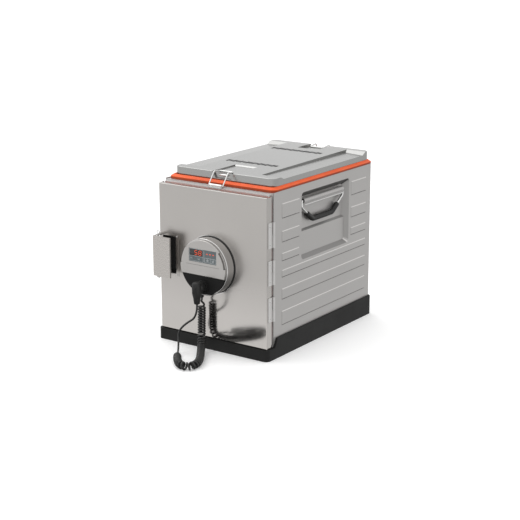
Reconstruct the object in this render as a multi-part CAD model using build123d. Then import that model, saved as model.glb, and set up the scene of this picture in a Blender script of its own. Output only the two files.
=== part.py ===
"""Insulated food carrier: front door with a plug-in circulating-air heater, lift-off lid, stacking base.

Frame: +Z up, +X to the user's right, -Y towards the user in front of the door.
Origin: centre of the flat underside of the base tray.  Millimetres.
"""
import math
import os

from build123d import *

# ---------------------------------------------------------------- driving dimensions
HALF_W = 208.0            # outer face of a side casing
DOOR_FACE = -306.5        # front plane of the door
FRAME_FACE = -272.5       # front plane of the body behind the door
CASE_FRONT = -270.5       # front edge of the side casings
CASE_BACK = 306.5         # outer face of the rear panel
CASE_TOP = 524.8          # top edge of the side casings
RIM_TOP = 522.0           # top of the steel rim that the lid seal rests on
SHEET = 1.0               # sheet steel
CASE_CORNER_R = 3.0
FIT = 0.1                 # gap between foam and sheet

TRAY_HALF_W = 216.0
TRAY_HALF_L = 314.5
TRAY_H = 65.0
TRAY_FRONT_H = 36.0
TRAY_FLOOR = 6.0
TRAY_R = 16.0
SCREW_X = (-170.0, 170.0)
SCREW_Y = (-240.0, 0.0, 270.0)
SCREW_TIP_Z = 1.5
RAMP_Y0, RAMP_Y1 = -273.5, -257.5

CAVITY_HALF_W = 166.5     # a 325 mm wide pan slides between the walls
CAVITY_BACK = 267.0
CAVITY_FLOOR = 96.5
MOUTH_HALF_W = 165.0
MOUTH_Z = (98.0, 499.0)
TOP_HOLE_HALF_W = 152.5
TOP_HOLE_Y = (-240.0, 267.0)

RUNNER_LEVELS = 10
RUNNER_PITCH = 37.0
RUNNER_Z0 = 130.0
RUNNER_DEPTH = 13.0
RUNNER_H = 7.0
RUNNER_WALL = 1.5
RUNNER_Y = (-255.0, 262.0)

RIB_H = 1.6
SHORT_RIB_Z = ((438.0, 485.0), (363.0, 399.0), (303.0, 329.0))
LONG_RIB_Z = ((251.0, 275.0), (180.0, 215.0), (97.0, 143.0))
FRONT_RIB_Y = (-226.5, -127.5)
REAR_RIB_Y = (178.5, 276.5)

RECESS_Y = (-116.5, 166.5)
RECESS_Z = (283.0, 499.0)
RECESS_DEEP = 18.5
RECESS_SHALLOW = 12.0
RECESS_STEP_Z = 373.0
RECESS_R = 12.0
RECESS_STEEP = 4.0        # how far the front wall of the recess slopes in

HANDLE_X = 200.0          # pivot line of a side handle
HANDLE_Z = 469.0
HANDLE_TUBE_Y = (-99.0, 134.0)
HANDLE_TUBE_R = 8.5
HANDLE_BORE_R = 6.5
HANDLE_WIRE_R = 4.0
HANDLE_ARM_Y = (-103.5, 138.5)
HANDLE_KNEE_Z = 448.0
HANDLE_GRIP_Y = (-43.0, 74.0)
HANDLE_GRIP_Z = 402.0
GRIP_R = 9.0

DOOR_Z = (37.2, 515.5)
DOOR_RETURN = 26.0
DOOR_TOP_RETURN = 13.0
DOOR_EDGE_R = 2.5
INNER_SKIN_Y = -280.5     # rear face of the door's inner skin
FRONT_RAIL_Y = -287.0     # front of the rail over the door
FRONT_RAIL_Z = (514.2, 519.0)
PLUG_HALF_W = 158.0
PLUG_Z = (104.0, 492.0)
PLUG_REAR = -268.0

HINGE_X, HINGE_Y = 211.2, -273.5
HINGE_Z = ((357.0, 437.0), (240.0, 318.0), (123.0, 201.0))
KNUCKLE_R = 4.2
PIN_R = 2.5
RUN_GAP = 0.05            # radial running clearance

LATCH_X = (-202.0, -134.0)
LATCH_Z = (221.0, 353.0)
LATCH_PLATE_X = (-207.0, -132.5)
LATCH_PLATE_Z = (218.0, 353.0)
LATCH_PIVOT = (-190.0, -336.5)
LATCH_FRONT = -350.5
CUP_X = (-194.0, -143.0)
CUP_Z = (226.0, 348.0)
CUP_DEPTH = 19.0
HOOK_PIVOT = (-214.3, -297.0)
HOOK_Z = (262.0, 308.0)

HEATER_Z = 279.0          # heater axis height
DRUM_R = 91.0
DRUM_FRONT = -347.5
COLLAR_T = 4.5
RING_T = 3.0
TUBE_R = 85.5
HOUSING_R = 87.0
HOUSING_FRONT = -356.0
HOUSING_LOW = 252.0
SOCKET_Z = 220.0
SOCKET_R = 20.0
SOCKET_BORE = 14.0
DISPLAY_X = (-52.0, 54.0)
DISPLAY_Z = (295.0, 337.0)
KEY_X = (-43.0, -14.0, 20.0, 41.0)
KEY_Z = 305.0
KEY_SIZE = (14.0, 11.0)
FAN_R = 60.0

LID_HALF_W = 194.0
LID_Y = (-244.5, 318.5)
LID_R = 22.0
LID_BASE_Z = 537.0
LID_CHANNEL_Z = 554.5     # channel floor at the lid's outer edge
CHANNEL_FOOT_Z = 557.6    # channel floor at the foot of the raised middle
LID_TOP_Z = 561.3
LID_REAR_Z = 565.0
PLATEAU_HALF_W = 121.0
FRONT_RAMP_Y = (-209.0, -195.0)
REAR_RAMP_Y = (272.0, 291.0)
CLAMP_FLOOR_Z = 558.2
SCOOP_HALF_W = (42.0, 30.0)   # scoop in the lid's front wall: at its top and at its foot
SCOOP_FOOT_Z = 541.0
SCOOP_DEEP = 6.0
LID_WALL = 1.5
LID_PLUG_Z = 506.0
SEAL_Y = (-262.5, 325.5)
SEAL_HALF_W = 205.5
SEAL_R = 22.0

CLAMP_HALF_W = 23.0
CLAMP_FOOT_Z = 516.5      # underside of the front clamp's foot
BAIL_HALF_W = 27.0
BAIL_WIRE_R = 2.2
FRONT_CLAMP = (-282.5, 526.0)
REAR_CLAMP = (336.0, 526.0)

WIRE_D = 7.0              # straight mains lead
CURL_D = 27.0             # outer diameter of the curled part
GLAND_X, GLAND_Y = -20.0, -334.5
GLAND_END_Z = 176.0
PLUG_Y = -385.5
PLUG_END_Z = 169.0
CURL_POINTS = (
    (GLAND_X, GLAND_Y, GLAND_END_Z),
    (GLAND_X - 1.0, GLAND_Y - 1.5, 100.0),
    (GLAND_X - 1.0, GLAND_Y - 3.5, CURL_D / 2),
    (83.6, -486.9, CURL_D / 2),
    (24.7, -528.3, CURL_D / 2),
    (-45.4, -428.5, CURL_D / 2),
)
LEAD_POINTS = (
    (-45.4, -428.5, CURL_D / 2),
    (-62.7, -404.0, CURL_D / 2),
    (-75.3, -386.0, 37.5),
    (-75.0, -386.0, 68.0),
    (-46.0, -386.0, 98.0),
    (0.0, PLUG_Y, 128.0),
    (0.0, PLUG_Y, PLUG_END_Z),
)


# ---------------------------------------------------------------- helpers
def block(x, y, z):
    """Box between two limits on each axis."""
    size = (x[1] - x[0], y[1] - y[0], z[1] - z[0])
    centre = ((x[0] + x[1]) / 2, (y[0] + y[1]) / 2, (z[0] + z[1]) / 2)
    return Pos(*centre) * Box(*size)


def rounded_slab(half_w, y, z, radius, taper=0.0):
    """Slab with rounded corners in plan, optionally drawn in towards the top."""
    length = y[1] - y[0]
    sketch = Pos(0, (y[0] + y[1]) / 2, z[0]) * RectangleRounded(2 * half_w, length, radius)
    return extrude(sketch, z[1] - z[0], taper=taper)


def disc(radius, y, x=0.0, z=HEATER_Z):
    """Cylinder along Y between two planes."""
    middle = (y[0] + y[1]) / 2
    return Pos(x, middle, z) * Rot(90, 0, 0) * Cylinder(radius, y[1] - y[0])


def ring(outer, inner, y):
    return disc(outer, y) - disc(inner, (y[0] - 1, y[1] + 1))


def upright(radius, x, y, z):
    """Cylinder along Z between two heights."""
    return Pos(x, y, (z[0] + z[1]) / 2) * Cylinder(radius, z[1] - z[0])


def crossways(radius, x, y, z):
    """Cylinder along X between two ends."""
    return Pos((x[0] + x[1]) / 2, y, z) * Rot(0, 90, 0) * Cylinder(radius, x[1] - x[0])


def lengthways(radius, x, y, z):
    """Cylinder along Y between two ends."""
    return Pos(x, (y[0] + y[1]) / 2, z) * Rot(90, 0, 0) * Cylinder(radius, y[1] - y[0])


def wire(points, radius, bends):
    """Round wire along straight runs joined by arcs."""
    path = FilletPolyline(*points, radius=bends)
    start = Plane(origin=path @ 0, z_dir=path % 0)
    return sweep(start * Circle(radius), path=path)


def cord_tube(points, diameter, name):
    """Plain tube of a free cord: every arc takes 0.45 of its shorter run."""
    spots = [Vector(*p) for p in points]
    radii = []
    for before, here, after in zip(spots, spots[1:], spots[2:]):
        turn = (here - before).get_angle(after - here)
        shorter = min((here - before).length, (after - here).length)
        radii.append(0.45 * shorter / math.tan(math.radians(turn) / 2))
    path = FilletPolyline(*spots, radius=radii)
    start = Plane(origin=path @ 0, z_dir=path % 0)
    tube = sweep(start * Circle(diameter / 2), path=path)
    expected = math.pi * diameter ** 2 / 4 * path.length
    print(name, "radii", [round(r, 1) for r in radii], "length", round(path.length, 1),
          "volume ratio", round(tube.volume / expected, 4))
    return tube


def as_group(solids):
    return Compound(children=list(solids))


def mirrored(shape):
    return mirror(shape, about=Plane.YZ)


# ---------------------------------------------------------------- base and casing
def base_tray():
    """Black moulded tray: low under the door, ramping up to a skirt round the sides and back."""
    tray = rounded_slab(TRAY_HALF_W, (-TRAY_HALF_L, TRAY_HALF_L), (0, TRAY_H), TRAY_R)
    reach = TRAY_HALF_W + 10
    front_cut = Plane.YZ * Polyline(
        (-TRAY_HALF_L - 10, TRAY_FRONT_H), (RAMP_Y0, TRAY_FRONT_H), (RAMP_Y1, TRAY_H),
        (RAMP_Y1, TRAY_H + 10), (-TRAY_HALF_L - 10, TRAY_H + 10), close=True)
    tray -= extrude(make_face(front_cut), reach, both=True)
    pocket_half = HALF_W + 0.2
    tray -= block((-pocket_half, pocket_half), (RAMP_Y0 + 0.5, CASE_BACK + 0.3), (TRAY_FLOOR, TRAY_H + 1))
    rim = tray.edges().filter_by(lambda e: abs(e.center().Z - TRAY_H) < 0.01)
    outer = [e for e in rim if abs(e.center().X) > HALF_W + 4 or e.center().Y > CASE_BACK + 4]
    return chamfer(outer, 2.0)


def base_screws():
    """Screws from the casing floor down into the tray."""
    screws = []
    for x in SCREW_X:
        for y in SCREW_Y:
            head = upright(4.0, x, y, (TRAY_FLOOR + SHEET, TRAY_FLOOR + SHEET + 2.0))
            screws.append(head + upright(2.0, x, y, (SCREW_TIP_Z, TRAY_FLOOR + SHEET)))
    return as_group(screws)


def base_screw_holes():
    """Holes for the same screws in the tray and the pan."""
    return [upright(2.0, x, y, (SCREW_TIP_Z, TRAY_FLOOR + SHEET + 1)) for x in SCREW_X for y in SCREW_Y]


def bottom_pan():
    return block((-206.4, 206.4), (CASE_FRONT + 1, CASE_BACK - SHEET - 0.1), (TRAY_FLOOR, TRAY_FLOOR + SHEET))


def pad(y, z, face, height, draft=2.6, corner=3.0):
    """Pressed pad that stands out of a side casing, with sloping edges."""
    length, tall = y[1] - y[0], z[1] - z[0]
    middle = Pos(face, (y[0] + y[1]) / 2, (z[0] + z[1]) / 2) * Rot(0, 90, 0)
    foot = middle * RectangleRounded(tall, length, corner)
    top = middle * Pos(0, 0, height) * RectangleRounded(tall - 2 * draft, length - 2 * draft, corner - 1)
    return loft([foot.face(), top.face()])


def pocket(y, z, depth, grow):
    """Handle recess volume, open at the casing face: a steep front wall and 45 degree walls elsewhere."""
    deep = depth + grow
    length, tall = y[1] - y[0] + 2 * grow, z[1] - z[0] + 2 * grow
    centre_y, centre_z = (y[0] + y[1]) / 2, (z[0] + z[1]) / 2
    mouth = Pos(HALF_W, centre_y, centre_z) * Rot(0, 90, 0) * RectangleRounded(tall, length, RECESS_R)
    shift = (RECESS_STEEP - deep) / 2
    floor = Pos(HALF_W - deep, centre_y + shift, centre_z) * Rot(0, 90, 0) * RectangleRounded(
        tall - 2 * deep, length - deep - RECESS_STEEP, RECESS_R - 6)
    return loft([mouth.face(), floor.face()])


def recess_volume(grow=0.0):
    deep = pocket(RECESS_Y, RECESS_Z, RECESS_DEEP, grow)
    # below the step the floor is shallower: a wedge of metal stays in front of the deep floor
    keep = RECESS_SHALLOW + grow
    x_shallow, x_deep = HALF_W - keep, HALF_W - RECESS_DEEP - grow - 1
    z_top = RECESS_STEP_Z - 3 - grow * 0.4
    profile = Plane.XZ * Polyline(
        (x_shallow, RECESS_Z[0] - 10), (x_shallow, z_top), (x_deep, z_top + x_shallow - x_deep),
        (x_deep - 5, z_top + x_shallow - x_deep), (x_deep - 5, RECESS_Z[0] - 10), close=True)
    wedge = Pos(0, 25, 0) * extrude(make_face(profile), 300, both=True)
    return deep - wedge


def side_panel():
    """Right-hand casing: pressed ribs, handle recess, rear corner wrapped round the back."""
    plan = Polyline((HALF_W - SHEET, CASE_FRONT), (HALF_W, CASE_FRONT), (HALF_W, CASE_BACK),
                    (HALF_W - 20, CASE_BACK), (HALF_W - 20, CASE_BACK - SHEET),
                    (HALF_W - SHEET, CASE_BACK - SHEET), close=True)
    height = CASE_TOP - TRAY_FLOOR
    panel = extrude(Pos(0, 0, TRAY_FLOOR) * make_face(plan), height)
    corner = [e for e in panel.edges().filter_by(Axis.Z)
              if abs(e.center().X - HALF_W) < 0.01 and abs(e.center().Y - CASE_BACK) < 0.01]
    panel = fillet(corner, CASE_CORNER_R)
    panel -= block((HALF_W - 30, HALF_W - SHEET - 0.01), (CASE_BACK - 10, CASE_BACK + 1),
                   (RIM_TOP - 1.0, CASE_TOP + 1))
    for y in (FRONT_RIB_Y, REAR_RIB_Y):
        for z in SHORT_RIB_Z:
            panel += pad(y, z, HALF_W, RIB_H)
            panel -= pad((y[0] + 1, y[1] - 1), (z[0] + 1, z[1] - 1), HALF_W - SHEET - 0.01, RIB_H)
    long_y = (FRONT_RIB_Y[0], REAR_RIB_Y[1])
    for z in LONG_RIB_Z:
        panel += pad(long_y, z, HALF_W, RIB_H)
        panel -= pad((long_y[0] + 1, long_y[1] - 1), (z[0] + 1, z[1] - 1), HALF_W - SHEET - 0.01, RIB_H)
    shell = recess_volume(SHEET) & block((150, HALF_W - 0.01), (-200, 250), (200, 520))
    panel += shell
    panel -= recess_volume()
    return panel


def rear_panel():
    panel = block((-187.9, 187.9), (CASE_BACK - SHEET, CASE_BACK), (TRAY_FLOOR, RIM_TOP - SHEET - 0.1))
    for z in LONG_RIB_Z + SHORT_RIB_Z[:2]:
        rib = Rot(0, 0, 90) * pad((-160, 160), z, CASE_BACK, RIB_H)
        panel += rib
        panel -= Rot(0, 0, 90) * pad((-159, 159), (z[0] + 1, z[1] - 1), CASE_BACK - SHEET - 0.01, RIB_H)
    return panel


# ---------------------------------------------------------------- compartment
def inner_liner():
    """Pan compartment, open to the front and the top."""
    half_w = CAVITY_HALF_W + SHEET
    outer = block((-half_w, half_w), (FRAME_FACE + SHEET, CAVITY_BACK + SHEET),
                  (CAVITY_FLOOR - SHEET, RIM_TOP - SHEET))
    outer = fillet(outer.edges().filter_by(Axis.X).sort_by(Axis.Y)[-1:], 1.0)
    hollow = block((-CAVITY_HALF_W, CAVITY_HALF_W), (FRAME_FACE - 5, CAVITY_BACK),
                   (CAVITY_FLOOR, RIM_TOP + 5))
    return outer - hollow


def pan_runners():
    """Pressed ledges, one pair per level."""
    bars = []
    for level in range(RUNNER_LEVELS):
        z = RUNNER_Z0 + level * RUNNER_PITCH
        bar = block((CAVITY_HALF_W - RUNNER_DEPTH, CAVITY_HALF_W), RUNNER_Y, (z - RUNNER_H, z))
        bar = chamfer(bar.edges().filter_by(Axis.Y).group_by(Axis.X)[0], 1.5)
        bar -= block((CAVITY_HALF_W - RUNNER_DEPTH + RUNNER_WALL, CAVITY_HALF_W + 1),
                     (RUNNER_Y[0] + RUNNER_WALL, RUNNER_Y[1] - RUNNER_WALL),
                     (z - RUNNER_H + RUNNER_WALL, z - RUNNER_WALL))
        bars += [bar, mirrored(bar)]
    return as_group(bars)


def front_frame():
    """Flat frame round the front mouth, a hollow header over it and a rail above the door."""
    width = 206.4
    frame = block((-width, width), (FRAME_FACE, FRAME_FACE + SHEET), (TRAY_FRONT_H + 0.5, RIM_TOP))
    frame -= block((-MOUTH_HALF_W, MOUTH_HALF_W), (FRAME_FACE - 5, FRAME_FACE + 5), MOUTH_Z)
    for low, high in HINGE_Z:
        frame -= block((203.4, width + 1), (FRAME_FACE - 5, FRAME_FACE + 5),
                       ((low + high) / 2 + 0.2, high + 0.2))
    header = block((-CAVITY_HALF_W + 0.1, CAVITY_HALF_W - 0.1), (FRAME_FACE, TOP_HOLE_Y[0]),
                   (MOUTH_Z[1], RIM_TOP))
    header -= block((-CAVITY_HALF_W - 1, CAVITY_HALF_W + 1), (FRAME_FACE + SHEET, TOP_HOLE_Y[0] - SHEET),
                    (MOUTH_Z[1] + SHEET, RIM_TOP - SHEET))
    shelf = block((-width, width), (FRAME_FACE, TOP_HOLE_Y[0]), (RIM_TOP - SHEET, RIM_TOP))
    rail = block((-199, 199), (FRONT_RAIL_Y, FRAME_FACE + 0.5), FRONT_RAIL_Z)
    notch = CLAMP_HALF_W + 0.2
    rail -= block((-notch, notch), (FRONT_RAIL_Y - 3, FRAME_FACE), (CLAMP_FOOT_Z - 0.2, RIM_TOP))
    return frame + header + shelf + rail


def top_frame():
    """Flat rim round the top opening: the lid seal sits on it."""
    rim = block((-206.4, 206.4), (TOP_HOLE_Y[0] + FIT, CASE_BACK - SHEET), (RIM_TOP - SHEET, RIM_TOP))
    hole = block((-TOP_HOLE_HALF_W, TOP_HOLE_HALF_W), (TOP_HOLE_Y[0] - 5, TOP_HOLE_Y[1]),
                 (RIM_TOP - 5, RIM_TOP + 5))
    return rim - hole


def body_insulation():
    foam = block((-206.3, 206.3), (FRAME_FACE + SHEET + FIT, CASE_BACK - SHEET - FIT),
                 (TRAY_FLOOR + SHEET + 2.2, RIM_TOP - SHEET - FIT))
    side = CAVITY_HALF_W + SHEET + FIT
    foam -= block((-side, side), (FRAME_FACE - 5, CAVITY_BACK + SHEET + FIT),
                  (CAVITY_FLOOR - SHEET - FIT, RIM_TOP + 5))
    recess = recess_volume(SHEET + FIT)
    foam -= recess
    foam -= mirrored(recess)
    return foam


# ---------------------------------------------------------------- hinges
def hinge_parts():
    """Three butt hinges: the upper knuckle is on the body, the lower one on the door."""
    body, door, pins = [], [], []
    for low, high in HINGE_Z:
        middle = (low + high) / 2
        knuckle = upright(KNUCKLE_R, HINGE_X, HINGE_Y, (middle + 0.4, high))
        leaf = block((203.6, 209.6), (FRAME_FACE, FRAME_FACE + SHEET), (middle + 0.4, high))
        body.append(knuckle + leaf - upright(PIN_R, HINGE_X, HINGE_Y, (low, high + 1)))
        knuckle = upright(KNUCKLE_R, HINGE_X, HINGE_Y, (low, middle - 0.4))
        tab = block((HALF_W, HALF_W + 1.5), (-299.5, HINGE_Y), (low, middle - 0.4))
        plate = block((HALF_W, HALF_W + 1.5), (-299.5, -278.6), (low, high))
        bore = upright(PIN_R + RUN_GAP, HINGE_X, HINGE_Y, (low - 1, high + 1))
        door.append(knuckle + tab + plate - bore)
        pins.append(upright(PIN_R, HINGE_X, HINGE_Y, (low, high)))
    return as_group(body), as_group(door), as_group(pins)


# ---------------------------------------------------------------- door
def door_outer_skin():
    shell = block((-HALF_W, HALF_W), (DOOR_FACE, DOOR_FACE + DOOR_RETURN), DOOR_Z)
    front = shell.faces().sort_by(Axis.Y)[0]
    shell = fillet(front.edges(), DOOR_EDGE_R)
    shell -= block((-HALF_W + SHEET, HALF_W - SHEET), (DOOR_FACE + SHEET, DOOR_FACE + 40),
                   (DOOR_Z[0] + SHEET, DOOR_Z[1] - SHEET))
    shell -= block((-HALF_W + SHEET, HALF_W - SHEET), (DOOR_FACE + DOOR_TOP_RETURN, DOOR_FACE + 40),
                   (DOOR_Z[1] - 5, DOOR_Z[1] + 5))
    shell -= disc(TUBE_R + 0.5, (DOOR_FACE - 5, DOOR_FACE + 5))
    shell -= block((CUP_X[0] - 0.2, CUP_X[1] + 0.2), (DOOR_FACE - 5, DOOR_FACE + 5),
                   (CUP_Z[0] - 0.2, CUP_Z[1] + 0.2))
    return shell


def door_inner_skin():
    """Flat skin with a raised plug that reaches into the mouth."""
    skin = block((-206.4, 206.4), (INNER_SKIN_Y - SHEET, INNER_SKIN_Y), (38.6, 511.1))
    plug = block((-PLUG_HALF_W, PLUG_HALF_W), (INNER_SKIN_Y - SHEET, PLUG_REAR), PLUG_Z)
    plug = fillet(plug.edges().filter_by(Axis.Y), 14.0)
    plug = fillet(plug.faces().sort_by(Axis.Y)[-1].edges(), 3.0)
    inner = block((-PLUG_HALF_W + SHEET, PLUG_HALF_W - SHEET), (INNER_SKIN_Y - 10, PLUG_REAR - SHEET),
                  (PLUG_Z[0] + SHEET, PLUG_Z[1] - SHEET))
    inner = fillet(inner.edges().filter_by(Axis.Y), 13.0)
    skin = skin + plug - inner
    return skin - disc(TUBE_R + 0.5, (INNER_SKIN_Y - 20, PLUG_REAR + 5))


def door_insulation():
    foam = block((-206.3, 206.3), (DOOR_FACE + SHEET + FIT, INNER_SKIN_Y - SHEET - FIT), (38.9, 511.0))
    inside = SHEET + FIT
    core = block((-PLUG_HALF_W + inside, PLUG_HALF_W - inside), (INNER_SKIN_Y - 3, PLUG_REAR - inside),
                 (PLUG_Z[0] + inside, PLUG_Z[1] - inside))
    foam += fillet(core.edges().filter_by(Axis.Y), 12.9)
    foam -= disc(TUBE_R + 0.5, (DOOR_FACE - 5, PLUG_REAR + 5))
    cup = block((CUP_X[0] - 1.7, CUP_X[1] + 1.7), (DOOR_FACE - 5, DOOR_FACE + CUP_DEPTH + 1),
                (CUP_Z[0] - 1.7, CUP_Z[1] + 1.7))
    return foam - cup


def door_gasket():
    """Silicone frame on the door, with a lip that closes the gap over the door's top edge."""
    seal = block((-199, 199), (INNER_SKIN_Y + FIT, FRAME_FACE - 0.3), (47.0, 513.8))
    seal -= block((-173, 173), (INNER_SKIN_Y - 5, FRAME_FACE + 5), (90.0, 506.0))
    lip = block((-199, 199), (DOOR_FACE + DOOR_TOP_RETURN + 0.3, FRAME_FACE - 0.3), (511.2, 513.8))
    return seal + lip


# ---------------------------------------------------------------- pull latch
def latch_base_plate():
    """Plate on the door with ears for the lever pin and a wrapped edge with lugs for the hook."""
    front, back = DOOR_FACE - SHEET, DOOR_FACE
    plate = block(LATCH_PLATE_X, (front, back), LATCH_PLATE_Z)
    plate -= block(CUP_X, (front - 5, back + 5), CUP_Z)
    px, py = LATCH_PIVOT
    for z in ((LATCH_PLATE_Z[0] - 2.5, LATCH_PLATE_Z[0]), (LATCH_PLATE_Z[1], LATCH_PLATE_Z[1] + 2.5)):
        ear = block((px - 7, px + 7), (py, back), z) + upright(7.0, px, py, z)
        plate += ear - upright(PIN_R, px, py, (z[0] - 1, z[1] + 1))
    wrap = block((-209.7, -208.0), (front, DOOR_FACE + 20), (HOOK_Z[0] - 12, HOOK_Z[1] + 12))
    plate += wrap + block((-209.7, LATCH_PLATE_X[0] + 1), (front, back), (HOOK_Z[0] - 12, HOOK_Z[1] + 12))
    hx, hy = HOOK_PIVOT
    for z in ((HOOK_Z[0] - 6, HOOK_Z[0] - 0.4), (HOOK_Z[1] + 0.4, HOOK_Z[1] + 6)):
        lug = block((hx, -209.0), (hy - 4, hy + 4), z) + upright(4.0, hx, hy, z)
        plate += lug - upright(2.0 + RUN_GAP, hx, hy, (z[0] - 1, z[1] + 1))
    return plate


def latch_grip_cup():
    """Black cup let into the door: fingers go into it behind the lever."""
    cup = block(CUP_X, (DOOR_FACE - SHEET - 1.0, DOOR_FACE + CUP_DEPTH), CUP_Z)
    cup = fillet(cup.edges().filter_by(Axis.Y), 5.0)
    hollow = block((CUP_X[0] + 2, CUP_X[1] - 2), (DOOR_FACE - 10, DOOR_FACE + CUP_DEPTH - 2),
                   (CUP_Z[0] + 2, CUP_Z[1] - 2))
    hollow = fillet(hollow.edges().filter_by(Axis.Y), 4.0)
    return cup - hollow


def latch_lever():
    """Pull plate with folded edges and a knuckle round the latch pin."""
    px, py = LATCH_PIVOT
    low, high = LATCH_Z[0] + 0.5, LATCH_Z[1] - 0.5
    plate = block(LATCH_X, (LATCH_FRONT, LATCH_FRONT + 2), (low, high))
    right = block((LATCH_X[1] - 2, LATCH_X[1]), (LATCH_FRONT, LATCH_FRONT + 6), (low, high))
    left = block((LATCH_X[0], LATCH_X[0] + 2), (LATCH_FRONT, py + 2), (low, high))
    plate += right + left
    for z in ((low, low + 2), (high - 2, high)):
        plate += block(LATCH_X, (LATCH_FRONT, LATCH_FRONT + 5), z)
    knuckle = upright(5.0, px, py, (low + 4, high - 4))
    arm = block((LATCH_X[0], px), (py - 2, py + 2), (low + 4, high - 4))
    corner = [e for e in plate.edges().filter_by(Axis.Z) if e.center().Y < LATCH_FRONT + 0.01]
    plate = fillet(corner, 1.2)
    return plate + knuckle + arm - upright(PIN_R + RUN_GAP, px, py, (low - 1, high + 1))


def latch_pin():
    px, py = LATCH_PIVOT
    pin = upright(PIN_R, px, py, (LATCH_PLATE_Z[0] - 8, LATCH_PLATE_Z[1] + 5))
    loop = Pos(px, py, LATCH_PLATE_Z[1] + 9.5) * Rot(90, 0, 0) * Torus(5.0, 1.4)
    return pin + loop


def latch_hook():
    """Arm that snaps over the keeper on the left casing."""
    hx, hy = HOOK_PIVOT
    barrel = upright(4.0, hx, hy, HOOK_Z) + upright(2.0, hx, hy, (HOOK_Z[0] - 6.5, HOOK_Z[1] + 6.5))
    arm = block((-214.6, -212.6), (hy, -244.0), (HOOK_Z[0] + 5, HOOK_Z[1] - 5))
    tip = block((-218.0, -212.6), (-246.0, -244.0), (HOOK_Z[0] + 5, HOOK_Z[1] - 5))
    return barrel + arm + tip


def latch_keeper():
    keeper = block((-212.2, -HALF_W), (-256.0, -248.0), (HOOK_Z[0] + 8, HOOK_Z[1] - 8))
    return chamfer(keeper.faces().sort_by(Axis.X)[0].edges().filter_by(Axis.Z), 2.0)


# ---------------------------------------------------------------- heater
def heater_collar():
    return ring(95.0, TUBE_R + 0.5, (DOOR_FACE - COLLAR_T, DOOR_FACE))


def heater_gasket():
    return ring(92.8, 84.0, (DOOR_FACE - COLLAR_T - RING_T, DOOR_FACE - COLLAR_T))


def heater_drum():
    """Steel cup that holds the motor and the controls."""
    back = DOOR_FACE - COLLAR_T - RING_T
    drum = disc(DRUM_R, (DRUM_FRONT, back))
    drum = fillet(drum.faces().sort_by(Axis.Y)[0].edges(), 2.5)
    drum -= disc(DRUM_R - 2, (DRUM_FRONT + 2, back + 5))
    return drum - disc(16.0, (DRUM_FRONT - 5, DRUM_FRONT + 5), 0, SOCKET_Z)


def control_housing():
    """Front cover: a raised plateau with the display, cut off level above the connector bay."""
    cover = disc(HOUSING_R, (HOUSING_FRONT, DRUM_FRONT))
    cover -= block((-120, 120), (HOUSING_FRONT - 5, DRUM_FRONT + 5), (100, HOUSING_LOW))
    cover = fillet(cover.faces().sort_by(Axis.Y)[0].edges(), 2.5)
    notches = block((62.0, 100.0), (HOUSING_FRONT - 5, HOUSING_FRONT + 5), (286.0, 336.0))
    rim = ring(200.0, 81.0, (HOUSING_FRONT - 5, HOUSING_FRONT + 5))
    cover -= notches & rim
    cover -= mirrored(notches & rim)
    cover -= block(DISPLAY_X, (HOUSING_FRONT - 5, HOUSING_FRONT + 4), DISPLAY_Z)
    cover -= block((-64, 64), (HOUSING_FRONT - 5, HOUSING_FRONT + 0.8), (285.2, 286.4))
    return cover


def connector_bay():
    bay = disc(HOUSING_R, (DRUM_FRONT - 4.5, DRUM_FRONT))
    bay &= block((-120, 120), (HOUSING_FRONT - 5, DRUM_FRONT + 5), (100, HOUSING_LOW - 0.3))
    bay = chamfer(bay.faces().sort_by(Axis.Y)[0].edges(), 1.0)
    return bay - disc(16.0, (HOUSING_FRONT - 5, DRUM_FRONT + 5), 0, SOCKET_Z)


def power_socket():
    """Parking socket for the plug: a flange with a bore."""
    y = (DRUM_FRONT - 16.0, DRUM_FRONT + 8.0)
    socket = disc(16.0, y, 0, SOCKET_Z) + disc(SOCKET_R, (y[0], DRUM_FRONT - 4.5), 0, SOCKET_Z)
    return socket - disc(SOCKET_BORE, (y[0] - 5, y[1] - 3), 0, SOCKET_Z)


def key_shape(x, y, grow=0.0):
    half_x, half_z = KEY_SIZE[0] / 2 + grow, KEY_SIZE[1] / 2 + grow
    return block((x - half_x, x + half_x), y, (KEY_Z - half_z, KEY_Z + half_z))


def display_window():
    face = HOUSING_FRONT + 0.8
    window = block((DISPLAY_X[0] + 0.2, DISPLAY_X[1] - 0.2), (face, face + 1.5),
                   (DISPLAY_Z[0] + 0.2, DISPLAY_Z[1] - 0.2))
    for x in KEY_X:
        window -= key_shape(x, (face - 5, face + 5), 0.25)
    return window


def key_cap(x):
    """Key cap with a shoulder behind the window."""
    face = HOUSING_FRONT + 0.8
    return key_shape(x, (face - 0.4, face + 2.2))


def control_board():
    return block((-60, 60), (DRUM_FRONT + 4.0, DRUM_FRONT + 5.6), (262.0, 338.0))


def heater_tube():
    back = DOOR_FACE - COLLAR_T - RING_T
    tube = ring(TUBE_R, TUBE_R - SHEET, (DOOR_FACE - COLLAR_T, PLUG_REAR - SHEET))
    wall = ring(TUBE_R - SHEET, 8.0, (DOOR_FACE, DOOR_FACE + SHEET))
    return tube + wall + ring(84.0, 82.5, (back, DOOR_FACE + SHEET))


def heating_element():
    """Tubular heater: two rings round the impeller."""
    rings = [Pos(0, y, HEATER_Z) * Rot(90, 0, 0) * Torus(72.0, 3.5) for y in (-294.0, -284.0)]
    feet = lengthways(3.0, 72.0, (-294.0, -284.0), HEATER_Z)
    return rings[0] + rings[1] + feet


def fan_motor():
    motor = disc(26.0, (-336.0, DOOR_FACE))
    motor = fillet(motor.faces().sort_by(Axis.Y)[0].edges(), 3.0)
    return motor + disc(7.5, (DOOR_FACE, DOOR_FACE + 4.0)) + disc(3.0, (DOOR_FACE, -275.0))


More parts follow.
